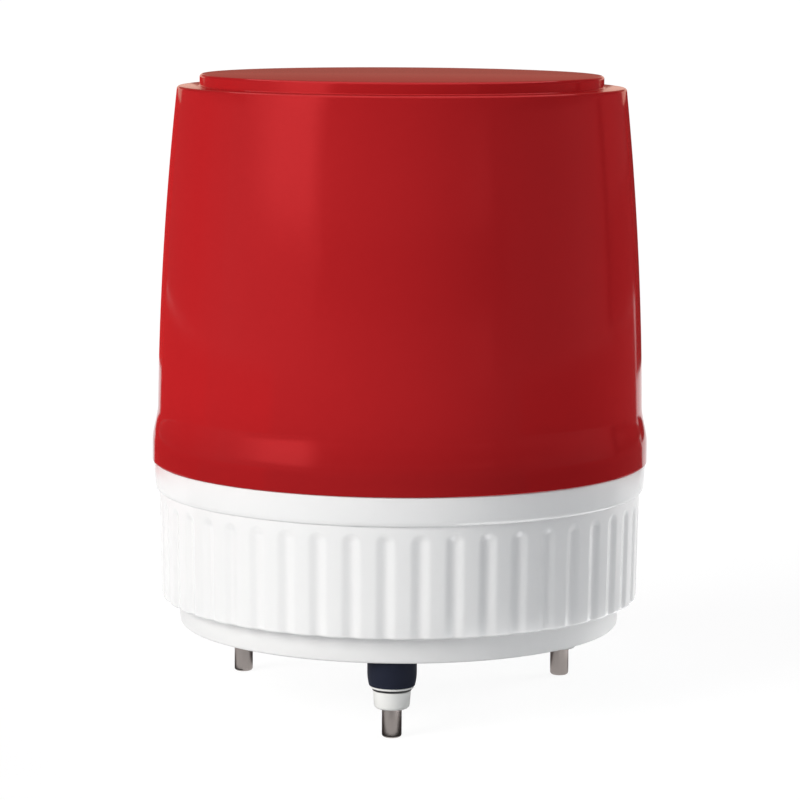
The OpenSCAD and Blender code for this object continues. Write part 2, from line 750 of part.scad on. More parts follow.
// Wire wound round one leg of the tube from the socket up
module trigger_wire() {
  turn_steps = 16;
  sides = 6;
  wire_r = trigger_d / 2;
  coil_r = tube_r + wire_r + fit_gap;
  steps = trigger_turns * turn_steps;
  color("#b9b4a8") translate([leg_gap / 2, 0, z_socket_top + wire_r]) sweep([
    for (i = [0:steps]) let (a = 360 * i / turn_steps, z = trigger_pitch * i / turn_steps) [
      for (k = [0:sides - 1]) let (b = 360 * k / sides, r = coil_r + wire_r * cos(b))
        [r * cos(a), r * sin(a), z + wire_r * sin(b)]
    ]
  ]);
}

// Three insulated leads from the board up to the socket, each with a slight bow
module lamp_leads() {
  steps = 12;
  sides = 8;
  color("#b03a2e") spread(3, lead_r, 90) sweep([
    for (i = [0:steps]) let (t = i / steps, bow = lead_bow * pow(sin(180 * t), 2)) [
      for (k = [0:sides - 1]) let (b = 360 * k / sides)
        [lead_d / 2 * cos(b), bow + lead_d / 2 * sin(b), z_parts + (z_spigot - z_parts) * t]
    ]
  ]);
}

// Round circuit board
module circuit_board() {
  color("#2f6b3c") difference() {
    hole(2 * board_r, z_board, z_parts);
    spread(post_count, post_r, post_turn) hole(board_screw_d + 4 * fit_gap, z_board - past, z_parts + past);
  }
}

// Screws that hold the board on its posts
module board_screws() {
  color("silver") spread(post_count, post_r, post_turn) translate([0, 0, z_parts])
    pan_screw(2 * board_screw_d, 0.8 * board_screw_d, board_screw_d, board_screw_l);
}

// Flash capacitors with a crimped foot and a round top edge
module storage_capacitors() {
  can_r = cap_d / 2;
  edge = 0.08 * cap_d;
  crimp = 0.04 * cap_d;
  color("#2d3f66") for (side = [-1, 1]) translate([cap_place[0], side * cap_place[1], z_parts])
    rotate_extrude() polygon(concat(
      [[0, 0], [can_r, 0], [can_r, 2 * crimp], [can_r - crimp, 3 * crimp], [can_r, 4 * crimp]],
      arc([can_r - edge, cap_h - edge], edge, 0, 90),
      [[0, cap_h]]));
}

// Laminated transformer core with two windows
module transformer_core() {
  z_window = (core_h - window_h) / 2;
  color("#5c5f66") translate([transformer_x, 0, z_parts]) difference() {
    translate([-core_t / 2, -core_w / 2, 0]) cube([core_t, core_w, core_h]);
    for (side = [-1, 1]) translate([0, side * (limb_w + window_w) / 2, core_h / 2])
      cube([core_t + 2 * past, window_w, window_h], center = true);
  }
}

// Winding round the core's middle limb, resting in the windows
module transformer_coil() {
  room = 2 * fit_gap;
  edge = coil_out / 2;
  coil_x = core_t + 2 * coil_out;
  coil_y = limb_w + 2 * window_w - 2 * room;
  color("#b5722f") translate([transformer_x, 0, z_parts + (core_h - window_h) / 2])
    linear_extrude(window_h - room) difference() {
      offset(r = edge, $fn = 24) square([coil_x - 2 * edge, coil_y - 2 * edge], center = true);
      square([core_t + room, limb_w + room], center = true);
    }
}

// Potted trigger coil on a flanged foot
module trigger_coil() {
  coil_r = trigger_coil_d / 2;
  foot_t = 1.5;
  color("#33343a") translate([trigger_coil_place[0], trigger_coil_place[1], z_parts]) rotate_extrude()
    polygon(concat(
      [[0, 0], [coil_r, 0], [coil_r, foot_t], [coil_r - 1, foot_t]],
      arc([coil_r - 2, trigger_coil_h - 1], 1, 0, 90),
      [[0, trigger_coil_h]]));
}

// Ceramic power resistor with bevelled long edges
module power_resistor() {
  half = resistor_w / 2;
  bevel = resistor_w / 10;
  color("#ddd8c8") translate([resistor_place[0] - resistor_l / 2, resistor_place[1], z_parts])
    rotate([90, 0, 90]) linear_extrude(resistor_l) polygon([
      [-half, 0], [half, 0], [half, resistor_w - bevel], [half - bevel, resistor_w],
      [bevel - half, resistor_w], [-half, resistor_w - bevel]
    ]);
}

// Finned heat sink standing on the board
module heat_sink() {
  step = (sink_w - thin) / (fin_count - 1);
  color("#8d9094") translate([0, sink_y, z_parts]) linear_extrude(sink_h) {
    translate([-sink_w / 2, sink_depth - 2 * thin]) square([sink_w, 2 * thin]);
    for (i = [0:fin_count - 1]) translate([i * step - sink_w / 2, 0]) square([thin, sink_depth - thin]);
  }
}

// Thyristor on three legs, its tab against the heat sink
module thyristor() {
  body = [10, 4.4, 9];
  tab_h = 15.5;
  leg_l = 4;
  leg_pitch = 2.5;
  tab_hole_d = 3.6;
  color("#2a2a2c") translate([0, sink_y + sink_depth, z_parts]) difference() {
    union() {
      translate([-body[0] / 2, 0, leg_l]) cube(body);
      translate([-body[0] / 2, 0, leg_l]) cube([body[0], thin, tab_h]);
      for (i = [-1:1]) translate([i * leg_pitch - thin / 2, thin, 0]) cube([thin, thin, leg_l + past]);
    }
    translate([0, -past, leg_l + tab_h - tab_hole_d]) rotate([-90, 0, 0])
      cylinder(d = tab_hole_d, h = body[1]);
  }
}

// Bridge rectifier block with one bevelled corner
module rectifier() {
  half = rectifier_w / 2;
  bevel = rectifier_w / 4;
  color("#222326") translate([rectifier_x, 0, z_parts]) linear_extrude(rectifier_h) polygon([
    [-half, -half], [half, -half], [half, half - bevel], [half - bevel, half], [-half, half]
  ]);
}

// Glass fuse with metal end caps
module fuse() {
  cap_r = fuse_d / 2;
  glass_r = cap_r - 0.25;
  cap_l = fuse_l / 4;
  color("#c9cdd0") translate([fuse_place[0] - fuse_l / 2, fuse_place[1], z_parts + fuse_lift + cap_r])
    rotate([0, 90, 0]) rotate_extrude() polygon([
      [0, 0], [cap_r, 0], [cap_r, cap_l], [glass_r, cap_l], [glass_r, fuse_l - cap_l],
      [cap_r, fuse_l - cap_l], [cap_r, fuse_l], [0, fuse_l]
    ]);
}

// Two spring clips that grip the fuse's caps
module fuse_clips() {
  clip_l = fuse_l / 5;
  seat_r = fuse_d / 2 + fit_gap;
  clip_w = 2 * seat_r + 2 * thin;
  color("#c8b27a") for (side = [-1, 1])
    translate([fuse_place[0] + side * (fuse_l - clip_l) / 2 - clip_l / 2, fuse_place[1], z_parts])
      rotate([90, 0, 90]) linear_extrude(clip_l) difference() {
        translate([-clip_w / 2, 0]) square([clip_w, fuse_lift + 0.8 * fuse_d]);
        translate([0, fuse_lift + fuse_d / 2]) circle(r = seat_r);
        translate([-0.7 * seat_r, fuse_lift + fuse_d / 2]) square([1.4 * seat_r, fuse_d]);
      }
}

// Terminal block with a screw well and a wire hole in each way
module terminal_block() {
  block_w = way_count * way_pitch + thin;
  bevel = block_depth / 4;
  color("#3f7f4a") translate([block_place[0], block_place[1], z_parts]) difference() {
    translate([-block_w / 2, 0, 0]) rotate([90, 0, 90]) linear_extrude(block_w) polygon([
      [-block_depth / 2, 0], [block_depth / 2, 0], [block_depth / 2, block_h - bevel],
      [block_depth / 2 - bevel, block_h], [-block_depth / 2, block_h]
    ]);
    terminal_ways() {
      hole(well_d, block_h / 2, block_h + past);
      translate([0, 0, block_h / 4]) rotate([-90, 0, 0]) cylinder(d = wire_hole_d, h = block_depth);
    }
  }
}

// Copies of the children at the middle of each way of the terminal block
module terminal_ways() {
  for (i = [0:way_count - 1]) translate([(i - (way_count - 1) / 2) * way_pitch, 0, 0]) children();
}

// Clamp screws in the terminal block's wells
module terminal_screws() {
  screw_r = well_d / 2 - fit_gap;
  color("silver") translate([block_place[0], block_place[1], z_parts]) terminal_ways() difference() {
    hole(2 * screw_r, block_h / 2, 0.85 * block_h);
    translate([-screw_r, -thin / 4, 0.75 * block_h]) cube([2 * screw_r, thin / 2, block_h]);
  }
}

globe();
globe_gasket();
housing();
bottom_cover();
bottom_gasket();
cover_screws();
cable_grommet();
stud_bolts();
rubber_bushes();
foot_washers();
foot_seals();
collar_nuts();
lamp_deck();
deck_screws();
lamp_socket();
socket_screws();
flash_tube();
tube_electrodes();
trigger_wire();
lamp_leads();
circuit_board();
board_screws();
storage_capacitors();
transformer_core();
transformer_coil();
trigger_coil();
power_resistor();
thyristor();
heat_sink();
rectifier();
fuse();
fuse_clips();
terminal_block();
terminal_screws();
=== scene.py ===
import math

import bpy
from mathutils import Matrix, Vector


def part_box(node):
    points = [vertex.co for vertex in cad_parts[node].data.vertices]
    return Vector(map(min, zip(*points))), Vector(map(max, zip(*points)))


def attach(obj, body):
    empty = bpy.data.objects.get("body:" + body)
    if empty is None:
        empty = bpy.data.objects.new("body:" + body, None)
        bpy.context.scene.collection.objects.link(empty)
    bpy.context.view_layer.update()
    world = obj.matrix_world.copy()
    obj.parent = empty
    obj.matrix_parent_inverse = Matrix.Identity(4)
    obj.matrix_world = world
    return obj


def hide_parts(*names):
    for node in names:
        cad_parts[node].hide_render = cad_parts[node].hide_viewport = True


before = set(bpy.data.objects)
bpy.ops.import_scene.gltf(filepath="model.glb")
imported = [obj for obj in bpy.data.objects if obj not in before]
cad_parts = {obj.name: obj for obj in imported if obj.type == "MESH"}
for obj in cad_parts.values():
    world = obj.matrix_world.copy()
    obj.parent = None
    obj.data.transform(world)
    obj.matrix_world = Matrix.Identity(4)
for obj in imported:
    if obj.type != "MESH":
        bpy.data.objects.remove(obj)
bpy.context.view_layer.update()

MM = 0.001

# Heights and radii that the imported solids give, in metres
globe_low, globe_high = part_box("globe")
housing_low, housing_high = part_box("housing")
cover_low, cover_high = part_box("bottom_cover")
bush_low, bush_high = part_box("rubber_bushes")
stud_low, stud_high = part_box("stud_bolts")
collar_low, collar_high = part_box("collar_nuts")

seat_z = globe_low[2]
top_z = globe_high[2]
foot_r = globe_high[0]
barrel_z = housing_low[2]
neck_z = housing_high[2]
rim_r = housing_high[0]
base_z = cover_low[2]

# Globe
GLOBE_WALL = 2.6 * MM
FOOT_H = 6 * MM
FOOT_EDGE = 0.3 * MM
FLARE_H = 11.5 * MM
FLARE_STEP = 1.75 * MM
GLOBE_DRAFT = 8 * MM
WALL_BULGE = 1.2 * MM
LEDGE_W = 7 * MM
DISC_H = 3.7 * MM
GLOBE_EDGE = 0.9 * MM
DISC_FILLET = 0.4 * MM
LAND_W = 4.1 * MM
LUG_COUNT = 3
LUG_ANGLE = math.radians(24)
LUG_LIFT = 1 * MM
LUG_H = 3.6 * MM
LUG_REACH = 2.8 * MM
LUG_ROOT = 1 * MM
RUN_GAP = 0.4 * MM
# Painted shade that darkens the globe towards its foot: the heights above the seat where it is full and
# where it ends, its amount and its curve
SHADE_PAINT_LOW = 5 * MM
SHADE_PAINT_HIGH = 29 * MM
SHADE_PAINT_AMOUNT = 0.2
SHADE_PAINT_POWER = 2.0
FLARE_ROWS = 16
WALL_ROWS = 20

# Housing
RIM_H = 9 * MM
RIM_DRAFT = 0.7 * MM
BARREL_STEP = 1.1 * MM
BARREL_DRAFT = 0.6 * MM
HOUSING_WALL = 3 * MM
HOUSING_EDGE = 0.5 * MM
LIP_W = 0.9 * MM
LIP_H = 2 * MM
LIP_STEPS = 8
BARREL_EDGE = 1 * MM
NECK_WALL = 2.5 * MM
SHELF_W = 8 * MM
SHELF_T = 4 * MM
FLANGE_IN = 10.4 * MM
GROOVE_W = 2.4 * MM
GROOVE_T = 2 * MM
GROOVE_GAP = 0.3 * MM
HOOK_H = 3 * MM
HOOK_EDGE = 0.3 * MM
HOOK_ANGLE = math.radians(31)
HOOK_TURN = math.radians(-17)
FLUTE_COUNT = 46
FLUTE_W = 6.7 * MM
FLUTE_DEPTH = 0.66 * MM
FLUTE_DROP = 2 * MM
FLUTE_TURN = math.radians(-91.2)
FLUTE_COLUMNS = 24
BARREL_ROWS = 4
ARCH_ROWS = 12

# Bottom cover
COVER_WALL = 4 * MM
COVER_DRAFT = 0.7 * MM
COVER_EDGE = 0.8 * MM
FLOOR_T = 3 * MM
SEAL_W = 2 * MM
SEAL_T = 1.5 * MM
BOSS_R = 4.5 * MM
BOSS_INSET = 0.9
SCREW_HOLE_R = 2.05 * MM
SCREW_WELL_R = 3.5 * MM
SCREW_WELL_H = 2.5 * MM
SCREW_COUNT = 3
SCREW_TURN = math.radians(90)
POST_R = 3.5 * MM
POST_H = 9 * MM
POST_COUNT = 4
POST_TURN = math.radians(45)
POST_OUT = 44.22 * MM
NECK_HOLE_R = 4.65 * MM
INLET_R = 7.15 * MM
CUT_PAST = 1 * MM

# Feet
FOOT_COUNT = 3
STUD_R = 3 * MM
STUD_TIP = 0.9 * MM
STUD_RELIEF = 0.25 * MM
HEAD_REACH = 5 * MM
HEAD_EDGE = 0.4 * MM
HEAD_SIDES = 6
BORE_R = 3.15 * MM
BUSH_R = 7.5 * MM
BUSH_NECK_R = 4.5 * MM
BUSH_DRAW = 0.55 * MM
BUSH_ROWS = 8
WASHER_R = 6.7 * MM
SEAL_R = 6 * MM
COLLAR_R = 5.8 * MM
COLLAR_DRAFT = 0.5 * MM
COLLAR_EDGE = 1.3 * MM
SMALL_EDGE = 0.25 * MM
RING_EDGE = 0.4

# Fineness of turned pieces, and how near points count as one or as level
TURN_STEPS = 288
FOOT_STEPS = 64
PART_STEPS = 12
BAR_STEPS = 48
EDGE_STEPS = 5
SMOOTH_ANGLE = math.radians(30)
MERGE_GAP = 0.001 * MM
LEVEL_GAP = 0.01 * MM

# The front of the light, as a turn about its axis
FRONT = math.radians(-90)

# Camera, fitted to the rims of the object
CAMERA_DISTANCE = 1030.7 * MM
CAMERA_HEIGHT = 235.6 * MM
CAMERA_TURN = math.radians(1.8)
CAMERA_PITCH = math.radians(7.797)
CAMERA_ROLL = math.radians(0.356)
CAMERA_LENS = 147.93
CAMERA_SENSOR = 36


def make_camera():
    camera = bpy.data.objects.new("camera", bpy.data.cameras.new("camera"))
    bpy.context.scene.collection.objects.link(camera)
    camera.data.lens = CAMERA_LENS
    camera.data.sensor_width = CAMERA_SENSOR
    spot = Vector((math.sin(CAMERA_TURN), -math.cos(CAMERA_TURN), 0)) * CAMERA_DISTANCE
    spot.z = CAMERA_HEIGHT
    camera.matrix_world = (
        Matrix.Translation(spot)
        @ Matrix.Rotation(CAMERA_TURN, 4, "Z")
        @ Matrix.Rotation(math.pi / 2 - CAMERA_PITCH, 4, "X")
        @ Matrix.Rotation(CAMERA_ROLL, 4, "Z")
    )
    bpy.context.scene.camera = camera


# Modelling steps that several pieces share

def pick(piece):
    """Makes one piece the active one, and the only one that is selected."""
    bpy.ops.object.select_all(action="DESELECT")
    piece.select_set(True)
    bpy.context.view_layer.objects.active = piece


def edit(piece):
    """Opens one piece in edit mode, with nothing selected in it."""
    pick(piece)
    bpy.ops.object.mode_set(mode="EDIT")
    bpy.ops.mesh.select_all(action="DESELECT")


def close_edit():
    bpy.ops.object.mode_set(mode="OBJECT")


def clean_mesh():
    """Merges doubles and turns the faces outwards, in edit mode."""
    bpy.ops.mesh.select_all(action="SELECT")
    bpy.ops.mesh.remove_doubles(threshold=MERGE_GAP)
    bpy.ops.mesh.normals_make_consistent(inside=False)


def smooth(piece):
    pick(piece)
    bpy.ops.object.shade_smooth_by_angle(angle=SMOOTH_ANGLE)


def rounded(corners):
    """Points of a closed outline of (radius, height, rounding) corners, with an arc at each rounding."""
    points = []
    for i, (r, z, rounding) in enumerate(corners):
        spot = Vector((r, z))
        if not rounding:
            points.append(spot)
            continue
        to_last = (Vector(corners[i - 1][:2]) - spot).normalized()
        to_next = (Vector(corners[(i + 1) % len(corners)][:2]) - spot).normalized()
        half = to_last.angle(to_next) / 2
        middle = spot + (to_last + to_next).normalized() * rounding / math.sin(half)
        start = (spot + to_last * rounding / math.tan(half) - middle).normalized()
        end = (spot + to_next * rounding / math.tan(half) - middle).normalized()
        points += [middle + start.slerp(end, k / EDGE_STEPS) * rounding for k in range(EDGE_STEPS + 1)]
    return points


def draw_line(name, points):
    """Edges through (radius, height) points in the XZ plane, drawn point by point. Leaves edit mode on."""
    bpy.ops.object.select_all(action="DESELECT")
    bpy.ops.mesh.primitive_plane_add(size=MM, location=(0, 0, 0))
    piece = bpy.context.object
    piece.name = name
    bpy.ops.object.mode_set(mode="EDIT")
    bpy.ops.mesh.select_mode(type="VERT")
    bpy.ops.mesh.merge(type="CENTER")
    bpy.ops.transform.translate(value=(points[0].x, 0, points[0].y))
    for last, here in zip(points, points[1:]):
        step = here - last
        bpy.ops.mesh.extrude_region_move(TRANSFORM_OT_translate={"value": (step.x, 0, step.y)})
    bpy.ops.mesh.select_all(action="SELECT")
    return piece


def draw_outline(name, corners):
    """A closed loop of edges through rounded corners."""
    points = rounded(corners)
    return draw_line(name, points + points[:1])


def turned(name, corners, steps=TURN_STEPS):
    """A solid turned about the Z axis from a closed outline."""
    piece = draw_outline(name, corners)
    bpy.ops.mesh.spin(steps=steps, angle=2 * math.pi, center=(0, 0, 0), axis=(0, 0, 1))
    clean_mesh()
    bpy.ops.mesh.dissolve_degenerate(threshold=MERGE_GAP)
    bpy.ops.mesh.delete_loose()
    close_edit()
    smooth(piece)
    return piece


def turned_part(name, corners, start, span):
    """Part of a turned solid, with its two ends closed."""
    piece = draw_outline(name, corners)
    bpy.ops.mesh.remove_doubles(threshold=MERGE_GAP)
    bpy.ops.mesh.spin(steps=PART_STEPS, angle=span, center=(0, 0, 0), axis=(0, 0, -1))
    bpy.ops.mesh.select_all(action="SELECT")
    bpy.ops.mesh.fill_holes(sides=0)
    clean_mesh()
    close_edit()
    piece.data.transform(Matrix.Rotation(start, 4, "Z"))
    smooth(piece)
    return piece


def copies_round(piece, count):
    """Copies of a piece round the Z axis, each with its own mesh, and the piece itself as the first."""
    made = [piece]
    for i in range(1, count):
        twin = piece.copy()
        twin.data = piece.data.copy()
        twin.data.transform(Matrix.Rotation(2 * math.pi * i / count, 4, "Z"))
        bpy.context.scene.collection.objects.link(twin)
        made.append(twin)
    return made


def joined(pieces):
    """Several pieces as one object, under the first one's name."""
    bpy.ops.object.select_all(action="DESELECT")
    for piece in pieces:
        piece.select_set(True)
    bpy.context.view_layer.objects.active = pieces[0]
    bpy.ops.object.join()
    return pieces[0]


def add_rings(rings):
    """Extrudes the selected loop of edges through (radius, height) rings, of which it is the first."""
    for last, here in zip(rings, rings[1:]):
        bpy.ops.mesh.extrude_region_move(TRANSFORM_OT_translate={"value": (0, 0, here[1] - last[1])})
        scale = here[0] / last[0]
        bpy.ops.transform.resize(value=(scale, scale, 1), center_override=(0, 0, here[1]))


def pick_loop(piece, height):
    """Selects the open loop of edges at a height, in edit mode."""
    bpy.ops.object.mode_set(mode="OBJECT")
    uses = {}
    for face in piece.data.polygons:
        for key in face.edge_keys:
            uses[key] = uses.get(key, 0) + 1
    for edge in piece.data.edges:
        level = [abs(piece.data.vertices[v].co.z - height) < LEVEL_GAP for v in edge.vertices]
        edge.select = all(level) and uses.get(edge.key, 0) < 2
    bpy.ops.object.mode_set(mode="EDIT")


# Globe

def ease(u):
    return u * u * (3 - 2 * u)


def make_globe():
    """A thin drafted shell with a flared foot and a raised top disc, and the lugs inside its foot."""
    shoulder_z = top_z - DISC_H
    waist_z = seat_z + FOOT_H + FLARE_H
    waist_r = foot_r - FLARE_STEP
    shoulder_r = foot_r - GLOBE_DRAFT
    disc_r = shoulder_r - LEDGE_W
    land_r = foot_r - LAND_W

    def wall_r(z):
        t = (z - waist_z) / (shoulder_z - waist_z)
        wall = waist_r + (shoulder_r - waist_r) * t + 4 * WALL_BULGE * t * (1 - t)
        return wall + (foot_r - wall) * ease(min(1, max(0, (waist_z - z) / FLARE_H)))

    def side(end_z, inset):
        steps = [seat_z + FOOT_H + FLARE_H * i / FLARE_ROWS for i in range(FLARE_ROWS)]
        steps += [waist_z + (end_z - waist_z) * i / WALL_ROWS for i in range(WALL_ROWS)]
        return [(wall_r(z) - inset, z, 0) for z in steps]

    inner_z = shoulder_z - GLOBE_WALL
    disc_in_r = disc_r - GLOBE_WALL
    outer = [(land_r, seat_z, 0), (foot_r, seat_z, FOOT_EDGE), (foot_r, seat_z + 2 * FOOT_EDGE, 0)]
    outer += side(shoulder_z, 0)
    outer += [(shoulder_r, shoulder_z, GLOBE_EDGE), (disc_r, shoulder_z, DISC_FILLET)]
    outer += [(disc_r, top_z, GLOBE_EDGE), (0, top_z, 0)]
    inner = [(0, top_z - GLOBE_WALL, 0), (disc_in_r, top_z - GLOBE_WALL, 0), (disc_in_r, inner_z, 0)]
    inner += [(wall_r(inner_z) - GLOBE_WALL, inner_z, 0)]
    inner += side(inner_z, GLOBE_WALL)[::-1]
    inner += [(land_r, seat_z + FOOT_H - LAND_W + GLOBE_WALL, 0)]
    shell = turned("globe_shell", outer + inner)

    lug_in_r = land_r - LUG_REACH
    lug_out_r = land_r + LUG_ROOT
    low_z = seat_z + LUG_LIFT
    high_z = low_z + LUG_H
    lug = turned_part(
        "lug",
        [
            (lug_in_r, low_z, SMALL_EDGE),
            (lug_out_r, low_z, 0),
            (lug_out_r, high_z, 0),
            (lug_in_r, high_z, SMALL_EDGE),
        ],
        FRONT - LUG_ANGLE / 2,
        LUG_ANGLE,
    )
    globe = joined([shell] + copies_round(lug, LUG_COUNT))
    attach(globe, "globe")
    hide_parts("globe")
    return globe


# Housing

def flute_share(spot, arch_z):
    """Depth of the flutes at a point of the barrel, as a share of their full depth. Their edges are soft."""
    pitch = 2 * math.pi / FLUTE_COUNT
    turn = (math.atan2(spot.y, spot.x) - FLUTE_TURN + pitch / 2) % pitch - pitch / 2
    across = turn * math.hypot(spot.x, spot.y)
    away = min(FLUTE_W / 2, math.hypot(across, max(0, spot.z - arch_z)))
    return (1 + math.cos(2 * math.pi * away / FLUTE_W)) / 2


def press_in(piece, depth, share):
    """Presses the points of the active piece in along their normals, each by its share of the depth."""
    group = piece.vertex_groups.new(name="pressed")
    for vertex in piece.data.vertices:
        group.add([vertex.index], share(vertex.co), "REPLACE")
    press = piece.modifiers.new("press", "DISPLACE")
    press.vertex_group = "pressed"
    press.mid_level = 0
    press.strength = -depth
    bpy.ops.object.modifier_apply(modifier="press")
    piece.vertex_groups.clear()


def make_housing():
    """The fluted barrel, the rim over it, the gasket's groove and the neck with its hooks."""
    rim_z = seat_z - RIM_H
    rim_low_r = rim_r - RIM_DRAFT
    barrel_r = rim_low_r - BARREL_STEP
    barrel_low_r = barrel_r - BARREL_DRAFT
    land_r = foot_r - LAND_W
    neck_r = land_r - LUG_REACH - RUN_GAP
    neck_in_r = neck_r - NECK_WALL
    groove_in_r = land_r + GROOVE_GAP
    arch_z = rim_z - FLUTE_DROP - FLUTE_W / 2
    start_z = barrel_z + BARREL_EDGE

    def side_r(z):
        return barrel_low_r + BARREL_DRAFT * (z - barrel_z) / (rim_z - barrel_z)

    def edge_share(spot):
        drop = max(0, start_z - spot.z) / BARREL_EDGE
        return 1 - math.sqrt(max(0, 1 - drop * drop))

    # The barrel's wall, with fine rows at its bottom edge and where the flutes end in their arches
    rows = [start_z - BARREL_EDGE * math.cos(math.pi / 2 * i / EDGE_STEPS) for i in range(EDGE_STEPS)]
    rows += [start_z + (arch_z - start_z) * i / BARREL_ROWS for i in range(BARREL_ROWS + 1)]
    rows += [arch_z + FLUTE_W / 2 * i / ARCH_ROWS for i in range(1, ARCH_ROWS + 2)]
    rows += [rim_z]
    bpy.ops.object.select_all(action="DESELECT")
    bpy.ops.mesh.primitive_circle_add(
        vertices=FLUTE_COUNT * FLUTE_COLUMNS, radius=side_r(barrel_z), fill_type="NOTHING"
    )
    housing = bpy.context.object
    housing.name = "housing_shell"
    bpy.ops.object.mode_set(mode="EDIT")
    bpy.ops.transform.translate(value=(0, 0, barrel_z))
    add_rings([(side_r(z), z) for z in rows])
    bpy.ops.mesh.select_all(action="SELECT")
    bpy.ops.mesh.normals_make_consistent(inside=False)
    close_edit()

    # Flutes, then the round bottom edge that follows them
    press_in(housing, FLUTE_DEPTH, lambda spot: flute_share(spot, arch_z))
    press_in(housing, BARREL_EDGE, edge_share)

    # Over the rim, the groove and the neck, and down the inside to the flange
    lip_r = rim_low_r + RIM_DRAFT * LIP_H / RIM_H - LIP_W
    bends = [math.pi / 2 * i / LIP_STEPS for i in range(LIP_STEPS + 1)]
    lip = [(lip_r + LIP_W * math.sin(a), rim_z + LIP_H * (1 - math.cos(a)), 0) for a in bends]
    over = rounded([
        (barrel_r, rim_z, 0),
        *lip,
        (rim_r, seat_z, HOUSING_EDGE),
        (groove_in_r + GROOVE_W, seat_z, 0),
        (groove_in_r + GROOVE_W, seat_z - GROOVE_T, 0),
        (groove_in_r, seat_z - GROOVE_T, 0),
        (groove_in_r, seat_z, 0),
        (neck_r, seat_z, 0),
        (neck_r, neck_z, HOUSING_EDGE),
        (neck_in_r, neck_z, 0),
        (neck_in_r, seat_z, 0),
        (neck_in_r - SHELF_W, seat_z, 0),
        (neck_in_r - SHELF_W, seat_z - SHELF_T, 0),
        (barrel_r - HOUSING_WALL, seat_z - SHELF_T, 0),
        (barrel_low_r - HOUSING_WALL, barrel_z + HOUSING_WALL, 0),
        (barrel_low_r - FLANGE_IN, barrel_z + HOUSING_WALL, 0),
        (barrel_low_r - FLANGE_IN, barrel_z, 0),
    ])
    edit(housing)
    pick_loop(housing, rim_z)
    add_rings(over)
    close_edit()

    # Close the flange
    edit(housing)
    bpy.ops.mesh.select_mode(type="EDGE")
    bpy.ops.mesh.select_non_manifold()
    bpy.ops.mesh.bridge_edge_loops()
    clean_mesh()
    close_edit()
    smooth(housing)

    hook_z = seat_z + LUG_LIFT + LUG_H + RUN_GAP
    hook_r = land_r - RUN_GAP
    hook = turned_part(
        "hook",
        [
            (neck_r - NECK_WALL / 2, hook_z, 0),
            (hook_r, hook_z, 0),
            (hook_r, hook_z + HOOK_H, HOOK_EDGE),
            (neck_r - NECK_WALL / 2, hook_z + HOOK_H, 0),
        ],
        FRONT + HOOK_TURN,
        HOOK_ANGLE,
    )
    housing = joined([housing] + copies_round(hook, LUG_COUNT))
    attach(housing, "base")
    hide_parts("housing")
    return housing


# Bottom cover

def round_bar(spot, radius, low_z, high_z):
    """An upright round bar, with its place in its mesh."""
    bpy.ops.object.select_all(action="DESELECT")
    bpy.ops.mesh.primitive_cylinder_add(
        vertices=BAR_STEPS,
        radius=radius,
        depth=high_z - low_z,
        location=(spot[0], spot[1], (low_z + high_z) / 2),
    )
    bpy.ops.object.transform_apply(location=True, rotation=False, scale=False)
    return bpy.context.object


def ring_spots(count, radius, turn):
    """Spots equally spaced on a circle round the axis."""
    angles = [turn + 2 * math.pi * i / count for i in range(count)]
    return [(radius * math.cos(a), radius * math.sin(a)) for a in angles]


def cut_out(piece, bars):
    """Takes round bars out of a piece."""
    cutter = joined(bars)
    cut = piece.modifiers.new("holes", "BOOLEAN")
    cut.operation = "DIFFERENCE"
    cut.solver = "EXACT"
    cut.object = cutter
    pick(piece)
    bpy.ops.object.modifier_apply(modifier="holes")
    bpy.data.objects.remove(cutter)


def make_cover():
    """The ring and floor under the barrel, with screw wells and bosses, and posts for the board."""
    cover_r = cover_high[0]
    inner_r = cover_r - COVER_WALL
    floor_z = base_z + FLOOR_T
    seal_mid_r = cover_r - COVER_WALL / 2
    seal_out_r = seal_mid_r + SEAL_W / 2
    seal_in_r = seal_mid_r - SEAL_W / 2
    cover = turned("cover_shell", [
        (0, base_z, 0),
        (cover_r - COVER_DRAFT, base_z, COVER_EDGE),
        (cover_r, barrel_z, 0),
        (seal_out_r, barrel_z, 0),
        (seal_out_r, barrel_z - SEAL_T, 0),
        (seal_in_r, barrel_z - SEAL_T, 0),
        (seal_in_r, barrel_z, 0),
        (inner_r, barrel_z, 0),
        (inner_r, floor_z, 0),
        (0, floor_z, 0),
    ])

    # Holes for the studs, the cable inlet and the screws
    cut_low_z = base_z - CUT_PAST
    cut_high_z = floor_z + CUT_PAST
    well_z = base_z + SCREW_WELL_H
    screw_spots = ring_spots(SCREW_COUNT, inner_r - BOSS_INSET * BOSS_R, SCREW_TURN)
    stud_spots = ring_spots(FOOT_COUNT, -stud_low[1] - HEAD_REACH, FRONT)
    holes = [round_bar(spot, NECK_HOLE_R, cut_low_z, cut_high_z) for spot in stud_spots]
    holes += [round_bar((0, 0), INLET_R, cut_low_z, cut_high_z)]
    holes += [round_bar(spot, SCREW_WELL_R, cut_low_z, well_z) for spot in screw_spots]
    cut_out(cover, holes)

    # Screw bosses and the posts of the circuit board
    bosses = [round_bar(spot, BOSS_R, well_z, barrel_z) for spot in screw_spots]
    screw_holes = [round_bar(spot, SCREW_HOLE_R, base_z, barrel_z + CUT_PAST) for spot in screw_spots]
    boss_set = joined(bosses)
    cut_out(boss_set, screw_holes)
    post_spots = ring_spots(POST_COUNT, POST_OUT, POST_TURN)
    posts = [round_bar(spot, POST_R, floor_z - CUT_PAST, floor_z + POST_H) for spot in post_spots]
    cover = joined([cover, boss_set] + posts)
    smooth(cover)
    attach(cover, "base")
    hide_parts("bottom_cover")
    return cover


# Feet

def foot_set(piece, node):
    """A piece of the front foot, made on the axis, put in its place and copied round to the other feet."""
    piece.data.transform(Matrix.Translation((0, stud_low[1] + HEAD_REACH, 0)))
    piece = joined(copies_round(piece, FOOT_COUNT))
    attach(piece, "base")
    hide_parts(node)
    return piece


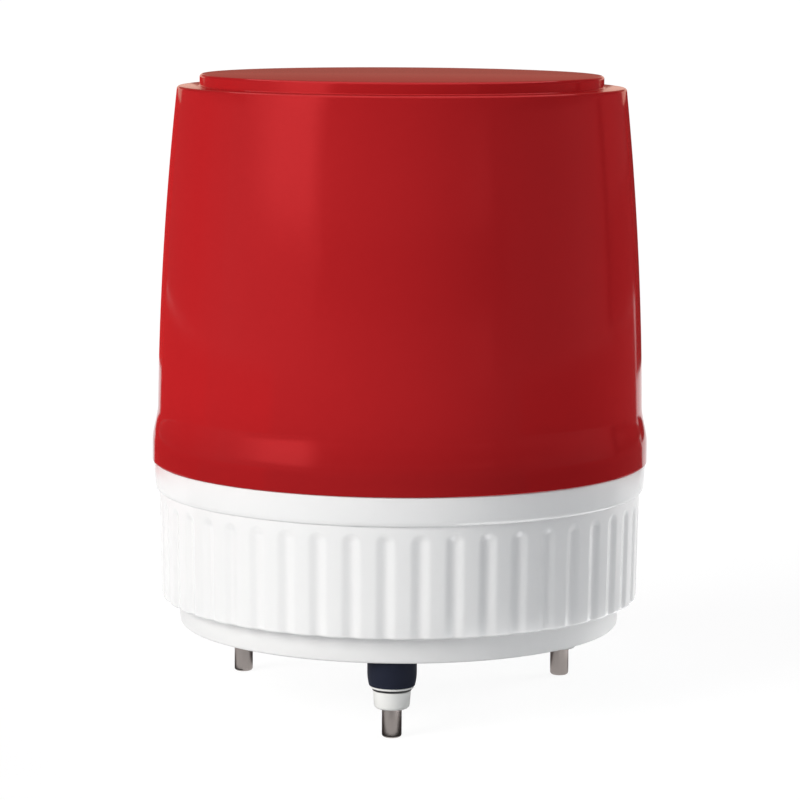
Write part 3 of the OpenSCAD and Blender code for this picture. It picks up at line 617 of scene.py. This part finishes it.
def make_bushes():
    """Rubber bushes that draw in towards their feet, with necks that go up through the cover."""
    foot_z, floor_z = bush_low[2], bush_high[2]
    draw_h = (base_z - foot_z) / 2
    outline = [(BORE_R, foot_z, 0), (BUSH_R - BUSH_DRAW, foot_z, SMALL_EDGE)]
    shares = [k / BUSH_ROWS for k in range(1, BUSH_ROWS + 1)]
    outline += [(BUSH_R - BUSH_DRAW * (1 - share) ** 2, foot_z + draw_h * share, 0) for share in shares]
    outline += [(BUSH_R, base_z, SMALL_EDGE), (BUSH_NECK_R, base_z, 0), (BUSH_NECK_R, floor_z, 0)]
    outline += [(BORE_R, floor_z, 0)]
    return foot_set(turned("bushes", outline, FOOT_STEPS), "rubber_bushes")


def make_flat_rings(name, node, radius):
    """Thin rings round the studs, with rounded rims."""
    low_z, high_z = (corner[2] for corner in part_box(node))
    edge = RING_EDGE * (high_z - low_z)
    outline = [(BORE_R, low_z, 0), (radius, low_z, edge), (radius, high_z, edge), (BORE_R, high_z, 0)]
    return foot_set(turned(name, outline, FOOT_STEPS), node)


def make_collars():
    """Round collars under the bushes, with a little draft and a soft lower edge."""
    low_z, high_z = collar_low[2], collar_high[2]
    outline = [(BORE_R, low_z, SMALL_EDGE), (COLLAR_R - COLLAR_DRAFT, low_z, COLLAR_EDGE)]
    outline += [(COLLAR_R, high_z, SMALL_EDGE), (BORE_R, high_z, 0)]
    return foot_set(turned("collars", outline, FOOT_STEPS), "collar_nuts")


def make_studs():
    """Studs with rounded tips, relieved where they pass through the feet, with hexagon heads inside."""
    free_z = collar_low[2]
    head_z, top = bush_high[2], stud_high[2]
    shank_r = STUD_R - STUD_RELIEF
    stud = turned("studs", [
        (0, 0, 0),
        (STUD_R, 0, STUD_TIP),
        (STUD_R, free_z, 0),
        (shank_r, free_z, 0),
        (shank_r, head_z + HEAD_EDGE, 0),
        (0, head_z + HEAD_EDGE, 0),
    ], FOOT_STEPS)

    # Hexagon head, with its flats towards the axis of the light
    bpy.ops.object.select_all(action="DESELECT")
    bpy.ops.mesh.primitive_cylinder_add(
        vertices=HEAD_SIDES,
        radius=HEAD_REACH / math.cos(math.pi / HEAD_SIDES),
        depth=top - head_z,
        location=(0, 0, (head_z + top) / 2),
        rotation=(0, 0, math.pi / HEAD_SIDES),
    )
    bpy.ops.object.transform_apply(location=True, rotation=True, scale=False)
    head = bpy.context.object
    bpy.ops.object.mode_set(mode="EDIT")
    bpy.ops.mesh.select_all(action="SELECT")
    bpy.ops.mesh.bevel(offset=HEAD_EDGE, segments=2, affect="EDGES")
    close_edit()
    smooth(head)
    return foot_set(joined([stud, head]), "stud_bolts")


# Finishes

# Shared effects: how fine each layer of noise is, and how much it counts
NOISE_MIDDLE = 0.5
GRAIN_DETAIL = 3
PATCH_DETAIL = 4
PATCH_SCALE = 0.04
PATCH_HEIGHT = 2.0
SLOW_DETAIL = 2
SLOW_SHARE = 0.7
MOTTLE_DETAIL = 3
MOTTLE_SCALE = 25.0
MOTTLE_SHARE = 0.3
SHAKE_DETAIL = 2
SHAKE_SCALE = 400.0

# What finishes of one kind share
MOULDED_SPREAD = 0.08
MOULDED_DRIFT_SCALE = 25.0
METAL_DRIFT = 0.06
METAL_DRIFT_SCALE = 60.0
LINE_GLOSS = 0.08
LINE_UNEVENNESS = 0.3
GLASS_DRIFT = 0.01
GLASS_DRIFT_SCALE = 60.0
GLASS_GRAIN = 300.0
GLASS_SPREAD = 0.02
GLASS_IOR = 1.47

# Colour, roughness, scale of the grain, depth of its relief, drift of the tone and specular level
MOULDED_FINISHES = {
    "white_housing": ((0.885, 0.888, 0.893), 0.22, 1800.0, 0.006 * MM, 0.012, 0.5),
    # white_cover is a little darker than white_housing: painted shade for the shade under the barrel
    "white_cover": ((0.825, 0.827, 0.83), 0.38, 1600.0, 0.006 * MM, 0.012, 0.08),
    "navy_rubber": ((0.0185, 0.0215, 0.036), 0.5, 2200.0, 0.02 * MM, 0.1, 0.03),
    "black_rubber": ((0.02, 0.02, 0.022), 0.55, 2500.0, 0.02 * MM, 0.1, 0.5),
    "pale_nylon": ((0.8, 0.8, 0.785), 0.4, 1500.0, 0.01 * MM, 0.02, 0.5),
    "deck_white": ((0.88, 0.88, 0.86), 0.3, 700.0, 0.02 * MM, 0.03, 0.5),
    "ceramic": ((0.80, 0.77, 0.70), 0.25, 500.0, 0.04 * MM, 0.05, 0.5),
    "lead_red": ((0.42, 0.06, 0.04), 0.45, 2000.0, 0.01 * MM, 0.06, 0.5),
    "board_green": ((0.03, 0.15, 0.05), 0.35, 1200.0, 0.03 * MM, 0.12, 0.5),
    "capacitor_blue": ((0.03, 0.06, 0.15), 0.3, 400.0, 0.03 * MM, 0.06, 0.5),
    "potting_black": ((0.03, 0.03, 0.035), 0.5, 900.0, 0.03 * MM, 0.12, 0.5),
    "resistor_body": ((0.72, 0.68, 0.58), 0.7, 1200.0, 0.08 * MM, 0.08, 0.5),
    "terminal_green": ((0.05, 0.21, 0.07), 0.4, 1400.0, 0.02 * MM, 0.05, 0.5),
}

# Colour, roughness, axis and pitch of the lines, depth of their relief and metallic share
LINED_FINISHES = {
    "stud_steel": ((0.335, 0.30, 0.285), 0.34, "Z", 0.4 * MM, 0.004 * MM, 1.0),
    "screw_steel": ((0.55, 0.55, 0.56), 0.3, "Z", 0.3 * MM, 0.004 * MM, 1.0),
    "electrode_metal": ((0.45, 0.44, 0.42), 0.3, "Z", 0.5 * MM, 0.006 * MM, 1.0),
    "trigger_nickel": ((0.50, 0.48, 0.44), 0.28, "X", 0.4 * MM, 0.004 * MM, 1.0),
    "core_steel": ((0.12, 0.12, 0.13), 0.5, "Y", 0.5 * MM, 0.06 * MM, 0.6),
    "coil_copper": ((0.45, 0.18, 0.05), 0.32, "Z", 0.6 * MM, 0.1 * MM, 0.8),
    "sink_aluminium": ((0.45, 0.46, 0.48), 0.38, "X", 0.6 * MM, 0.01 * MM, 1.0),
    "clip_brass": ((0.58, 0.45, 0.20), 0.3, "X", 0.5 * MM, 0.006 * MM, 1.0),
}

# Colour and roughness
GLASS_FINISHES = {
    "tube_glass": ((0.95, 0.97, 0.98), 0.03),
    "fuse_glass": ((0.85, 0.88, 0.9), 0.05),
}

# Solids that keep their shape and get a finish
NODE_FINISHES = {
    "black_rubber": ["globe_gasket", "bottom_gasket", "cable_grommet"],
    "screw_steel": ["cover_screws", "deck_screws", "socket_screws", "board_screws", "terminal_screws"],
    "deck_white": ["lamp_deck"],
    "ceramic": ["lamp_socket"],
    "tube_glass": ["flash_tube"],
    "electrode_metal": ["tube_electrodes"],
    "trigger_nickel": ["trigger_wire"],
    "lead_red": ["lamp_leads"],
    "board_green": ["circuit_board"],
    "capacitor_blue": ["storage_capacitors"],
    "core_steel": ["transformer_core"],
    "coil_copper": ["transformer_coil"],
    "potting_black": ["trigger_coil", "thyristor", "rectifier"],
    "resistor_body": ["power_resistor"],
    "sink_aluminium": ["heat_sink"],
    "clip_brass": ["fuse_clips"],
    "fuse_glass": ["fuse"],
    "terminal_green": ["terminal_block"],
}


def new_group(name, inputs, outputs):
    """An empty node group with named inputs (name, kind, value) and outputs (name, kind)."""
    group = bpy.data.node_groups.new(name, "ShaderNodeTree")
    for label, kind, value in inputs:
        socket = group.interface.new_socket(name=label, in_out="INPUT", socket_type="NodeSocket" + kind)
        if value is not None:
            socket.default_value = value
    for label, kind in outputs:
        group.interface.new_socket(name=label, in_out="OUTPUT", socket_type="NodeSocket" + kind)
    return group, group.nodes.new("NodeGroupInput"), group.nodes.new("NodeGroupOutput")


def sums(tree, operation, first, second):
    """A Math node fed by links or plain numbers."""
    node = tree.nodes.new("ShaderNodeMath")
    node.operation = operation
    for socket, value in zip(node.inputs, (first, second)):
        if isinstance(value, (int, float)):
            socket.default_value = value
        else:
            tree.links.new(value, socket)
    return node.outputs[0]


def noise(tree, spot, scale, detail):
    node = tree.nodes.new("ShaderNodeTexNoise")
    node.inputs["Detail"].default_value = detail
    tree.links.new(spot, node.inputs["Vector"])
    if isinstance(scale, (int, float)):
        node.inputs["Scale"].default_value = scale
    else:
        tree.links.new(scale, node.inputs["Scale"])
    return node.outputs["Fac"]


def make_grain_group():
    """Fine relief of a moulded surface, and patches that are a little glossier or duller."""
    group, given, put = new_group(
        "moulded_grain",
        [("Spot", "Vector", None), ("Scale", "Float", 1500.0), ("Spread", "Float", 0.08)],
        [("Height", "Float"), ("Gloss", "Float")],
    )
    fine = noise(group, given.outputs["Spot"], given.outputs["Scale"], GRAIN_DETAIL)
    patch_scale = sums(group, "MULTIPLY", given.outputs["Scale"], PATCH_SCALE)
    patch = noise(group, given.outputs["Spot"], patch_scale, PATCH_DETAIL)
    swing = sums(group, "SUBTRACT", patch, NOISE_MIDDLE)
    height = sums(group, "ADD", fine, sums(group, "MULTIPLY", patch, PATCH_HEIGHT))
    group.links.new(height, put.inputs["Height"])
    group.links.new(sums(group, "MULTIPLY", swing, given.outputs["Spread"]), put.inputs["Gloss"])
    return group


def make_drift_group():
    """A colour that drifts slowly in tone over a piece, with finer mottling in it."""
    group, given, put = new_group(
        "tone_drift",
        [
            ("Spot", "Vector", None),
            ("Colour", "Color", (0.5, 0.5, 0.5, 1)),
            ("Scale", "Float", 30.0),
            ("Amount", "Float", 0.05),
        ],
        [("Colour", "Color")],
    )
    slow = noise(group, given.outputs["Spot"], given.outputs["Scale"], SLOW_DETAIL)
    mottle_scale = sums(group, "MULTIPLY", given.outputs["Scale"], MOTTLE_SCALE)
    mottle = noise(group, given.outputs["Spot"], mottle_scale, MOTTLE_DETAIL)
    slow_part = sums(group, "MULTIPLY", slow, SLOW_SHARE)
    mottle_part = sums(group, "MULTIPLY", mottle, MOTTLE_SHARE)
    mixed = sums(group, "ADD", slow_part, mottle_part)
    swing = sums(group, "MULTIPLY", sums(group, "SUBTRACT", mixed, NOISE_MIDDLE), given.outputs["Amount"])
    level = sums(group, "ADD", sums(group, "MULTIPLY", swing, 2.0), 1.0)
    tint = group.nodes.new("ShaderNodeVectorMath")
    tint.operation = "SCALE"
    group.links.new(given.outputs["Colour"], tint.inputs[0])
    group.links.new(level, tint.inputs["Scale"])
    group.links.new(tint.outputs[0], put.inputs["Colour"])
    return group


def make_lines_group():
    """Fine lines across one axis, as turning, drawing, winding or stacking leaves them."""
    group, given, put = new_group(
        "fine_lines",
        [
            ("Along", "Float", 0.0),
            ("Spot", "Vector", None),
            ("Pitch", "Float", 0.5 * MM),
            ("Unevenness", "Float", LINE_UNEVENNESS),
        ],
        [("Height", "Float"), ("Shade", "Float")],
    )
    shake = noise(group, given.outputs["Spot"], SHAKE_SCALE, SHAKE_DETAIL)
    shake = sums(group, "MULTIPLY", shake, given.outputs["Unevenness"])
    turns = sums(group, "ADD", sums(group, "DIVIDE", given.outputs["Along"], given.outputs["Pitch"]), shake)
    wave = sums(group, "SINE", sums(group, "MULTIPLY", turns, 2 * math.pi), 0.0)
    group.links.new(wave, put.inputs["Height"])
    group.links.new(sums(group, "MULTIPLY", sums(group, "ADD", wave, 1.0), 0.5), put.inputs["Shade"])
    return group


GRAIN = make_grain_group()
DRIFT = make_drift_group()
LINES = make_lines_group()


def place_group(tree, group, **values):
    """A group placed in a material, with plain values or links for its inputs."""
    node = tree.nodes.new("ShaderNodeGroup")
    node.node_tree = group
    for label, value in values.items():
        if isinstance(value, bpy.types.NodeSocket):
            tree.links.new(value, node.inputs[label])
        else:
            node.inputs[label].default_value = value
    return node


def new_finish(name, colour, drift, drift_scale):
    """A material with a drifting base colour, given with its tree, its shader and the object's own spot."""
    material = bpy.data.materials.new(name)
    material.use_nodes = True
    tree = material.node_tree
    shader = tree.nodes["Principled BSDF"]
    spot = tree.nodes.new("ShaderNodeTexCoord").outputs["Object"]
    tone = place_group(tree, DRIFT, Spot=spot, Colour=(*colour, 1), Scale=drift_scale, Amount=drift)
    tree.links.new(tone.outputs["Colour"], shader.inputs["Base Color"])
    return material, tree, shader, spot


def add_relief(tree, shader, height, depth):
    bump = tree.nodes.new("ShaderNodeBump")
    bump.inputs["Distance"].default_value = depth
    tree.links.new(height, bump.inputs["Height"])
    tree.links.new(bump.outputs["Normal"], shader.inputs["Normal"])


def moulded(name, colour, roughness, grain, depth, drift, specular, spread=MOULDED_SPREAD, metallic=0.0):
    """Moulded plastic, rubber or ceramic."""
    material, tree, shader, spot = new_finish(name, colour, drift, MOULDED_DRIFT_SCALE)
    skin = place_group(tree, GRAIN, Spot=spot, Scale=grain, Spread=spread)
    tree.links.new(sums(tree, "ADD", skin.outputs["Gloss"], roughness), shader.inputs["Roughness"])
    add_relief(tree, shader, skin.outputs["Height"], depth)
    shader.inputs["Specular IOR Level"].default_value = specular
    shader.inputs["Metallic"].default_value = metallic
    return material


def globe_plastic():
    """Glossy red plastic, with painted shade that darkens it towards its foot, where the housing's neck
    stands behind it.
    """
    material = moulded(
        "red_globe",
        colour=(0.49, 0.0165, 0.0195),
        roughness=0.1,
        grain=120.0,
        depth=0.02 * MM,
        drift=0.03,
        specular=0.08,
        spread=0.04,
        metallic=0.16,
    )
    tree = material.node_tree
    base = tree.nodes["Principled BSDF"].inputs["Base Color"]
    plain = base.links[0].from_socket
    # Painted shade: the base colour is darkened by height, most at the foot
    parts = tree.nodes.new("ShaderNodeSeparateXYZ")
    tree.links.new(tree.nodes.new("ShaderNodeTexCoord").outputs["Object"], parts.inputs[0])
    rise = tree.nodes.new("ShaderNodeMapRange")
    rise.inputs["From Min"].default_value = seat_z + SHADE_PAINT_HIGH
    rise.inputs["From Max"].default_value = seat_z + SHADE_PAINT_LOW
    tree.links.new(parts.outputs["Z"], rise.inputs["Value"])
    depth = sums(tree, "MULTIPLY", sums(tree, "POWER", rise.outputs["Result"], SHADE_PAINT_POWER), SHADE_PAINT_AMOUNT)
    tone = tree.nodes.new("ShaderNodeVectorMath")
    tone.operation = "SCALE"
    tree.links.new(plain, tone.inputs[0])
    tree.links.new(sums(tree, "SUBTRACT", 1.0, depth), tone.inputs["Scale"])
    tree.links.new(tone.outputs[0], base)
    return material


def lined(name, colour, roughness, axis, pitch, depth, metallic):
    """Metal or winding with fine lines that repeat along one axis."""
    material, tree, shader, spot = new_finish(name, colour, METAL_DRIFT, METAL_DRIFT_SCALE)
    parts = tree.nodes.new("ShaderNodeSeparateXYZ")
    tree.links.new(spot, parts.inputs[0])
    lines = place_group(
        tree, LINES, Along=parts.outputs[axis], Spot=spot, Pitch=pitch, Unevenness=LINE_UNEVENNESS
    )
    rough = sums(tree, "ADD", sums(tree, "MULTIPLY", lines.outputs["Shade"], LINE_GLOSS), roughness)
    tree.links.new(rough, shader.inputs["Roughness"])
    add_relief(tree, shader, lines.outputs["Height"], depth)
    shader.inputs["Metallic"].default_value = metallic
    return material


def glass(name, colour, roughness):
    """Clear glass, with faint patches in its gloss."""
    material, tree, shader, spot = new_finish(name, colour, GLASS_DRIFT, GLASS_DRIFT_SCALE)
    skin = place_group(tree, GRAIN, Spot=spot, Scale=GLASS_GRAIN, Spread=GLASS_SPREAD)
    tree.links.new(sums(tree, "ADD", skin.outputs["Gloss"], roughness), shader.inputs["Roughness"])
    shader.inputs["Transmission Weight"].default_value = 1.0
    shader.inputs["IOR"].default_value = GLASS_IOR
    return material


def paint(piece, material):
    piece.data.materials.clear()
    piece.data.materials.append(material)


def paint_nodes(material, names):
    for name in names:
        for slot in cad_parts[name].material_slots:
            slot.material = material


# Studio

WORLD_COLOUR = 0.92, 1.0, 1.09
WORLD_STRENGTH = 0.25

# Azimuth, elevation and spread in degrees, strength and colour
LAMPS = {
    "key": (-50, 25, 35, 2.52, (1.0, 0.98, 0.945)),
    "back_right": (120, 18, 35, 1.75, (1.0, 0.985, 0.955)),
}

FLOOR_SIZE = 120
FLOOR_COLOUR = 0.8
FLOOR_GLOW = 0.9
FLOOR_SHADE = 0.16

# Reaches from the axis, heights, tones and turns of the cards
# Tone of the dark cards under the object, a painted shadow that only reflections see
SHADOW_CARD_TONE = 0.03, 0.03, 0.03
GREY = 0.15, 0.15, 0.15
RED = 0.7, 0.03, 0.03
LEDGE_TONE = 0.95, 0.6, 0.48
BACK_TONE = 0.37, 0.124, 0.094
CARD_REACH = 1.65
CARD_TOP = 1.5
CARD_STEPS = 48
# Reaches of the dark cards under the object, which paint its shadow on the floor into reflections
UNDER_IN, UNDER_MID, UNDER_TIP, UNDER_SIDE, UNDER_OUT = 0.005, 0.0585, 0.0645, 0.07, 0.085
EDGE_IN, EDGE_OUT = 0.092, 0.16
MAT_IN, MAT_MID, MAT_OUT = 0.1, 0.46, 1.6
MAT_Z = 0.0005
SOFTBOX_REACH = 1.6
SOFTBOX_TONES = 0.42, 1.5
SOFTBOX_FADE_Z = 0.17, 0.3
SOFTBOX_TURNS = -84, -58, -46, -37
FLAG_REACH = 1.62
BACK_REACH = 0.9
BACK_LOW_Z = 0.19
LEDGE_GLOW_Z = 0.3
SURROUND_FADE_Z = 0.33, 0.5
SURROUND_HIGH_TONE = 0.1

# Tone of the card round the set, and the red added to it, by azimuth in degrees.
# 0 is where the camera stands, and + is to its right.
SURROUND = [
    (-150, 0.05, 0.55), (-112, 0.05, 0.55), (-96, 0.22, 0.22), (-84, 0.36, 0), (-50, 0.36, 0),
    (-20, 0.14, 0), (25, 0.16, 0), (40.5, 0.36, 0), (44.5, 0.1, 0), (56, 0.2, 0), (95, 0.32, 0.05),
    (108, 0.18, 0.2), (113.4, 0.1, 0.32), (114, 0, 0), (118.2, 0, 0), (118.8, 0.08, 0.3), (150, 0.06, 0.15),
]

# Cards that lie on the floor and stand round the set: (reach, height) ends, turns in degrees and glow
CARDS = {
    # Painted shadow: dark cards under the object stand in for its shadow on the floor, which the reflections
    # of the floor lack
    "painted_shadow_under": ((UNDER_IN, MAT_Z), (UNDER_MID, MAT_Z), -60, 60, SHADOW_CARD_TONE),
    "painted_shadow_inner": ((UNDER_IN, MAT_Z), (UNDER_MID, MAT_Z), 130, 230, SHADOW_CARD_TONE),
    "painted_shadow_back": ((UNDER_MID, MAT_Z), (UNDER_OUT, MAT_Z), 118, 242, SHADOW_CARD_TONE),
    "painted_shadow_front": ((UNDER_MID, MAT_Z), (UNDER_TIP, MAT_Z), -60, 60, SHADOW_CARD_TONE),
    "painted_shadow_right": ((UNDER_TIP, MAT_Z), (UNDER_SIDE, MAT_Z), 7, 60, SHADOW_CARD_TONE),
    "near_mat": ((MAT_IN, MAT_Z), (MAT_MID, MAT_Z), -22, 22, GREY),
    "near_left_mat": ((EDGE_OUT, MAT_Z), (MAT_MID, MAT_Z), -105, -22, GREY),
    "near_right_mat": ((EDGE_OUT, MAT_Z), (MAT_MID, MAT_Z), 22, 112, GREY),
    "edge_left": ((EDGE_IN, MAT_Z), (EDGE_OUT, MAT_Z), -112, -22, (1.2, 1.2, 1.2)),
    "edge_right": ((EDGE_IN, MAT_Z), (EDGE_OUT, MAT_Z), 22, 62, (4.5, 4.5, 4.5)),
    "edge_far_right": ((EDGE_IN, MAT_Z), (EDGE_OUT, MAT_Z), 62, 115, (2.5, 2.5, 2.5)),
    "front_mat": ((MAT_MID, MAT_Z), (MAT_OUT, MAT_Z), -60, 56, GREY),
    "left_mat": ((MAT_MID, MAT_Z), (MAT_OUT, MAT_Z), -154, -100, RED),
    "left_front_mat": ((MAT_MID, MAT_Z), (MAT_OUT, MAT_Z), -100, -60, (0.5, 0.08, 0.08)),
    "right_mat": ((MAT_MID, MAT_Z), (MAT_OUT, MAT_Z), 56, 146, (0.3, 0.06, 0.06)),
    "front_flag": ((FLAG_REACH, 0.1), (FLAG_REACH, 0.24), -40, 50, (0.02, 0.02, 0.02)),
    "right_flag": ((FLAG_REACH, 0), (FLAG_REACH, 0.14), 118, 150, (0.22, 0.03, 0.03)),
    "back_low_right": ((BACK_REACH, 0), (BACK_REACH, BACK_LOW_Z), 147, 180, (0.2, 0.02, 0.02)),
    "back_low_left": ((BACK_REACH, 0), (BACK_REACH, BACK_LOW_Z), 180, 213, RED),
    "back_right_end": ((BACK_REACH, BACK_LOW_Z), (BACK_REACH, LEDGE_GLOW_Z), 147, 172, LEDGE_TONE),
    "back_left_end": ((BACK_REACH, BACK_LOW_Z), (BACK_REACH, LEDGE_GLOW_Z), 188, 213, LEDGE_TONE),
    "back_middle": ((BACK_REACH, BACK_LOW_Z), (BACK_REACH, LEDGE_GLOW_Z), 172, 188, BACK_TONE),
    "back_high": ((BACK_REACH, LEDGE_GLOW_Z), (BACK_REACH, CARD_TOP), 147, 213, BACK_TONE),
    "overhead": ((MAT_IN, CARD_TOP), (MAT_OUT, CARD_TOP), -180, 180, (2.0, 2.0, 2.0)),
}


def make_floor():
    """A floor that throws back plain light, and is white with the object's shadow on it where it is seen.
    From below it is clear, so that the underside of the object shows."""
    bpy.ops.object.select_all(action="DESELECT")
    bpy.ops.mesh.primitive_plane_add(size=FLOOR_SIZE, location=(0, 0, 0))
    floor = bpy.context.object
    floor.name = "floor"
    material = bpy.data.materials.new("studio_floor")
    material.use_nodes = True
    tree = material.node_tree
    tree.nodes.clear()
    path = tree.nodes.new("ShaderNodeLightPath")
    mirrored = sums(tree, "MAXIMUM", path.outputs["Is Glossy Ray"], path.outputs["Is Transmission Ray"])
    seen = sums(tree, "MAXIMUM", path.outputs["Is Camera Ray"], mirrored)
    lit = tree.nodes.new("ShaderNodeBsdfDiffuse")
    lit.inputs["Color"].default_value = (FLOOR_COLOUR, FLOOR_COLOUR, FLOOR_COLOUR, 1)
    shade = tree.nodes.new("ShaderNodeBsdfDiffuse")
    shade.inputs["Color"].default_value = (FLOOR_SHADE, FLOOR_SHADE, FLOOR_SHADE, 1)
    glow = tree.nodes.new("ShaderNodeEmission")
    glow.inputs["Strength"].default_value = FLOOR_GLOW
    both = tree.nodes.new("ShaderNodeAddShader")
    tree.links.new(shade.outputs[0], both.inputs[0])
    tree.links.new(glow.outputs[0], both.inputs[1])
    choice = tree.nodes.new("ShaderNodeMixShader")
    tree.links.new(seen, choice.inputs["Fac"])
    tree.links.new(lit.outputs[0], choice.inputs[1])
    tree.links.new(both.outputs[0], choice.inputs[2])
    two_sided = tree.nodes.new("ShaderNodeMixShader")
    tree.links.new(tree.nodes.new("ShaderNodeNewGeometry").outputs["Backfacing"], two_sided.inputs["Fac"])
    tree.links.new(choice.outputs[0], two_sided.inputs[1])
    tree.links.new(tree.nodes.new("ShaderNodeBsdfTransparent").outputs[0], two_sided.inputs[2])
    out = tree.nodes.new("ShaderNodeOutputMaterial")
    tree.links.new(two_sided.outputs[0], out.inputs["Surface"])
    paint(floor, material)


def make_world(colour, strength):
    world = bpy.data.worlds.new("studio")
    bpy.context.scene.world = world
    world.use_nodes = True
    sky = world.node_tree.nodes["Background"]
    sky.inputs["Color"].default_value = (*colour, 1)
    sky.inputs["Strength"].default_value = strength


def make_lamp(name, azimuth, elevation, spread, strength, colour):
    """A wide soft lamp far off. Azimuth 0 is where the camera stands, and + is to its right."""
    a = CAMERA_TURN + math.radians(azimuth)
    e = math.radians(elevation)
    way = Vector((math.sin(a) * math.cos(e), -math.cos(a) * math.cos(e), math.sin(e)))
    data = bpy.data.lights.new(name, "SUN")
    data.energy = strength
    data.color = colour
    data.angle = math.radians(spread)
    lamp = bpy.data.objects.new(name, data)
    bpy.context.scene.collection.objects.link(lamp)
    lamp.rotation_euler = way.to_track_quat("Z", "Y").to_euler()
    lamp.visible_glossy = False


def card_turn(azimuth):
    return CAMERA_TURN + math.radians(azimuth - 90)


def make_card(name, start, end, turn_low, turn_high, glow_colour):
    """A card spun round the set from a line between two (reach, height) points. Only reflections see it."""
    card = draw_line(name, [Vector(start), Vector(end)])
    span = math.radians(turn_high - turn_low)
    bpy.ops.mesh.spin(steps=CARD_STEPS, angle=span, center=(0, 0, 0), axis=(0, 0, -1))
    close_edit()
    card.data.transform(Matrix.Rotation(card_turn(turn_low), 4, "Z"))
    material = bpy.data.materials.new(name)
    material.use_nodes = True
    tree = material.node_tree
    tree.nodes.clear()
    glow = tree.nodes.new("ShaderNodeEmission")
    glow.inputs["Color"].default_value = (*glow_colour, 1)
    glow.inputs["Strength"].default_value = 1
    out = tree.nodes.new("ShaderNodeOutputMaterial")
    tree.links.new(glow.outputs[0], out.inputs["Surface"])
    paint(card, material)
    card.visible_camera = False
    card.visible_diffuse = False
    card.visible_shadow = False
    card.visible_transmission = False
    return tree, glow


def card_spot(tree):
    """Links to the turn round the axis and the height of a point on a card."""
    parts = tree.nodes.new("ShaderNodeSeparateXYZ")
    tree.links.new(tree.nodes.new("ShaderNodeTexCoord").outputs["Object"], parts.inputs[0])
    return sums(tree, "ARCTAN2", parts.outputs["Y"], parts.outputs["X"]), parts.outputs["Z"]


def soft_step(tree, value, low, high):
    ramp = tree.nodes.new("ShaderNodeMapRange")
    ramp.interpolation_type = "SMOOTHSTEP"
    ramp.inputs["From Min"].default_value = low
    ramp.inputs["From Max"].default_value = high
    tree.links.new(value, ramp.inputs["Value"])
    return ramp.outputs["Result"]


def make_softbox():
    """A tall lamp to the left of the camera that fades out at its foot and its sides."""
    tone, bright = SOFTBOX_TONES
    low_z, full_z = SOFTBOX_FADE_Z
    turn_low, turn_full, turn_edge, turn_high = SOFTBOX_TURNS
    low, high = (SOFTBOX_REACH, low_z), (SOFTBOX_REACH, CARD_TOP)
    tree, glow = make_card("left_softbox", low, high, turn_low, turn_high, (1, 1, 1))
    turn, height = card_spot(tree)
    far_side = soft_step(tree, turn, card_turn(turn_low), card_turn(turn_full))
    near_side = soft_step(tree, turn, card_turn(turn_high), card_turn(turn_edge))
    foot = soft_step(tree, height, low_z, full_z)
    share = sums(tree, "MULTIPLY", sums(tree, "MULTIPLY", far_side, near_side), foot)
    more = sums(tree, "MULTIPLY", share, bright - tone)
    tree.links.new(sums(tree, "ADD", more, tone), glow.inputs["Strength"])


def make_surround():
    """A ring of card round the set, whose tone changes with the azimuth. It is darker above."""
    low, high = (CARD_REACH, 0), (CARD_REACH, CARD_TOP)
    tree, glow = make_card("surround", low, high, SURROUND[0][0], SURROUND[-1][0], (1, 1, 1))
    turn, height = card_spot(tree)
    share = sums(tree, "ADD", sums(tree, "DIVIDE", turn, 2 * math.pi), 0.5)
    ramp = tree.nodes.new("ShaderNodeValToRGB")
    stops = ramp.color_ramp.elements
    places = []
    for azimuth, tone, red in SURROUND:
        places.append(((card_turn(azimuth) / (2 * math.pi) + 0.5) % 1, tone, red))
    places.sort()
    for place, tone, red in places[1:-1]:
        stops.new(place)
    for stop, (place, tone, red) in zip(stops, places):
        stop.position = place
        stop.color = (tone + red, tone, tone, 1)
    tree.links.new(share, ramp.inputs["Fac"])
    tree.links.new(ramp.outputs["Color"], glow.inputs["Color"])
    above = sums(tree, "MULTIPLY", soft_step(tree, height, *SURROUND_FADE_Z), SURROUND_HIGH_TONE - 1)
    tree.links.new(sums(tree, "ADD", above, 1.0), glow.inputs["Strength"])


make_camera()
globe = make_globe()
housing = make_housing()
cover = make_cover()
bushes = make_bushes()
washers = make_flat_rings("washers", "foot_washers", WASHER_R)
seals = make_flat_rings("seals", "foot_seals", SEAL_R)
collars = make_collars()
studs = make_studs()

finishes = {"red_globe": globe_plastic()}
for name, figures in MOULDED_FINISHES.items():
    finishes[name] = moulded(name, *figures)
for name, figures in LINED_FINISHES.items():
    finishes[name] = lined(name, *figures)
for name, figures in GLASS_FINISHES.items():
    finishes[name] = glass(name, *figures)
paint(globe, finishes["red_globe"])
paint(housing, finishes["white_housing"])
paint(cover, finishes["white_cover"])
paint(bushes, finishes["navy_rubber"])
paint(washers, finishes["pale_nylon"])
paint(seals, finishes["black_rubber"])
paint(collars, finishes["pale_nylon"])
paint(studs, finishes["stud_steel"])
for name, nodes in NODE_FINISHES.items():
    paint_nodes(finishes[name], nodes)

bpy.context.scene.view_settings.view_transform = "Standard"
make_floor()
make_world(WORLD_COLOUR, WORLD_STRENGTH)
for name, figures in LAMPS.items():
    make_lamp(name, *figures)
make_surround()
make_softbox()
for name, figures in CARDS.items():
    make_card(name, *figures)
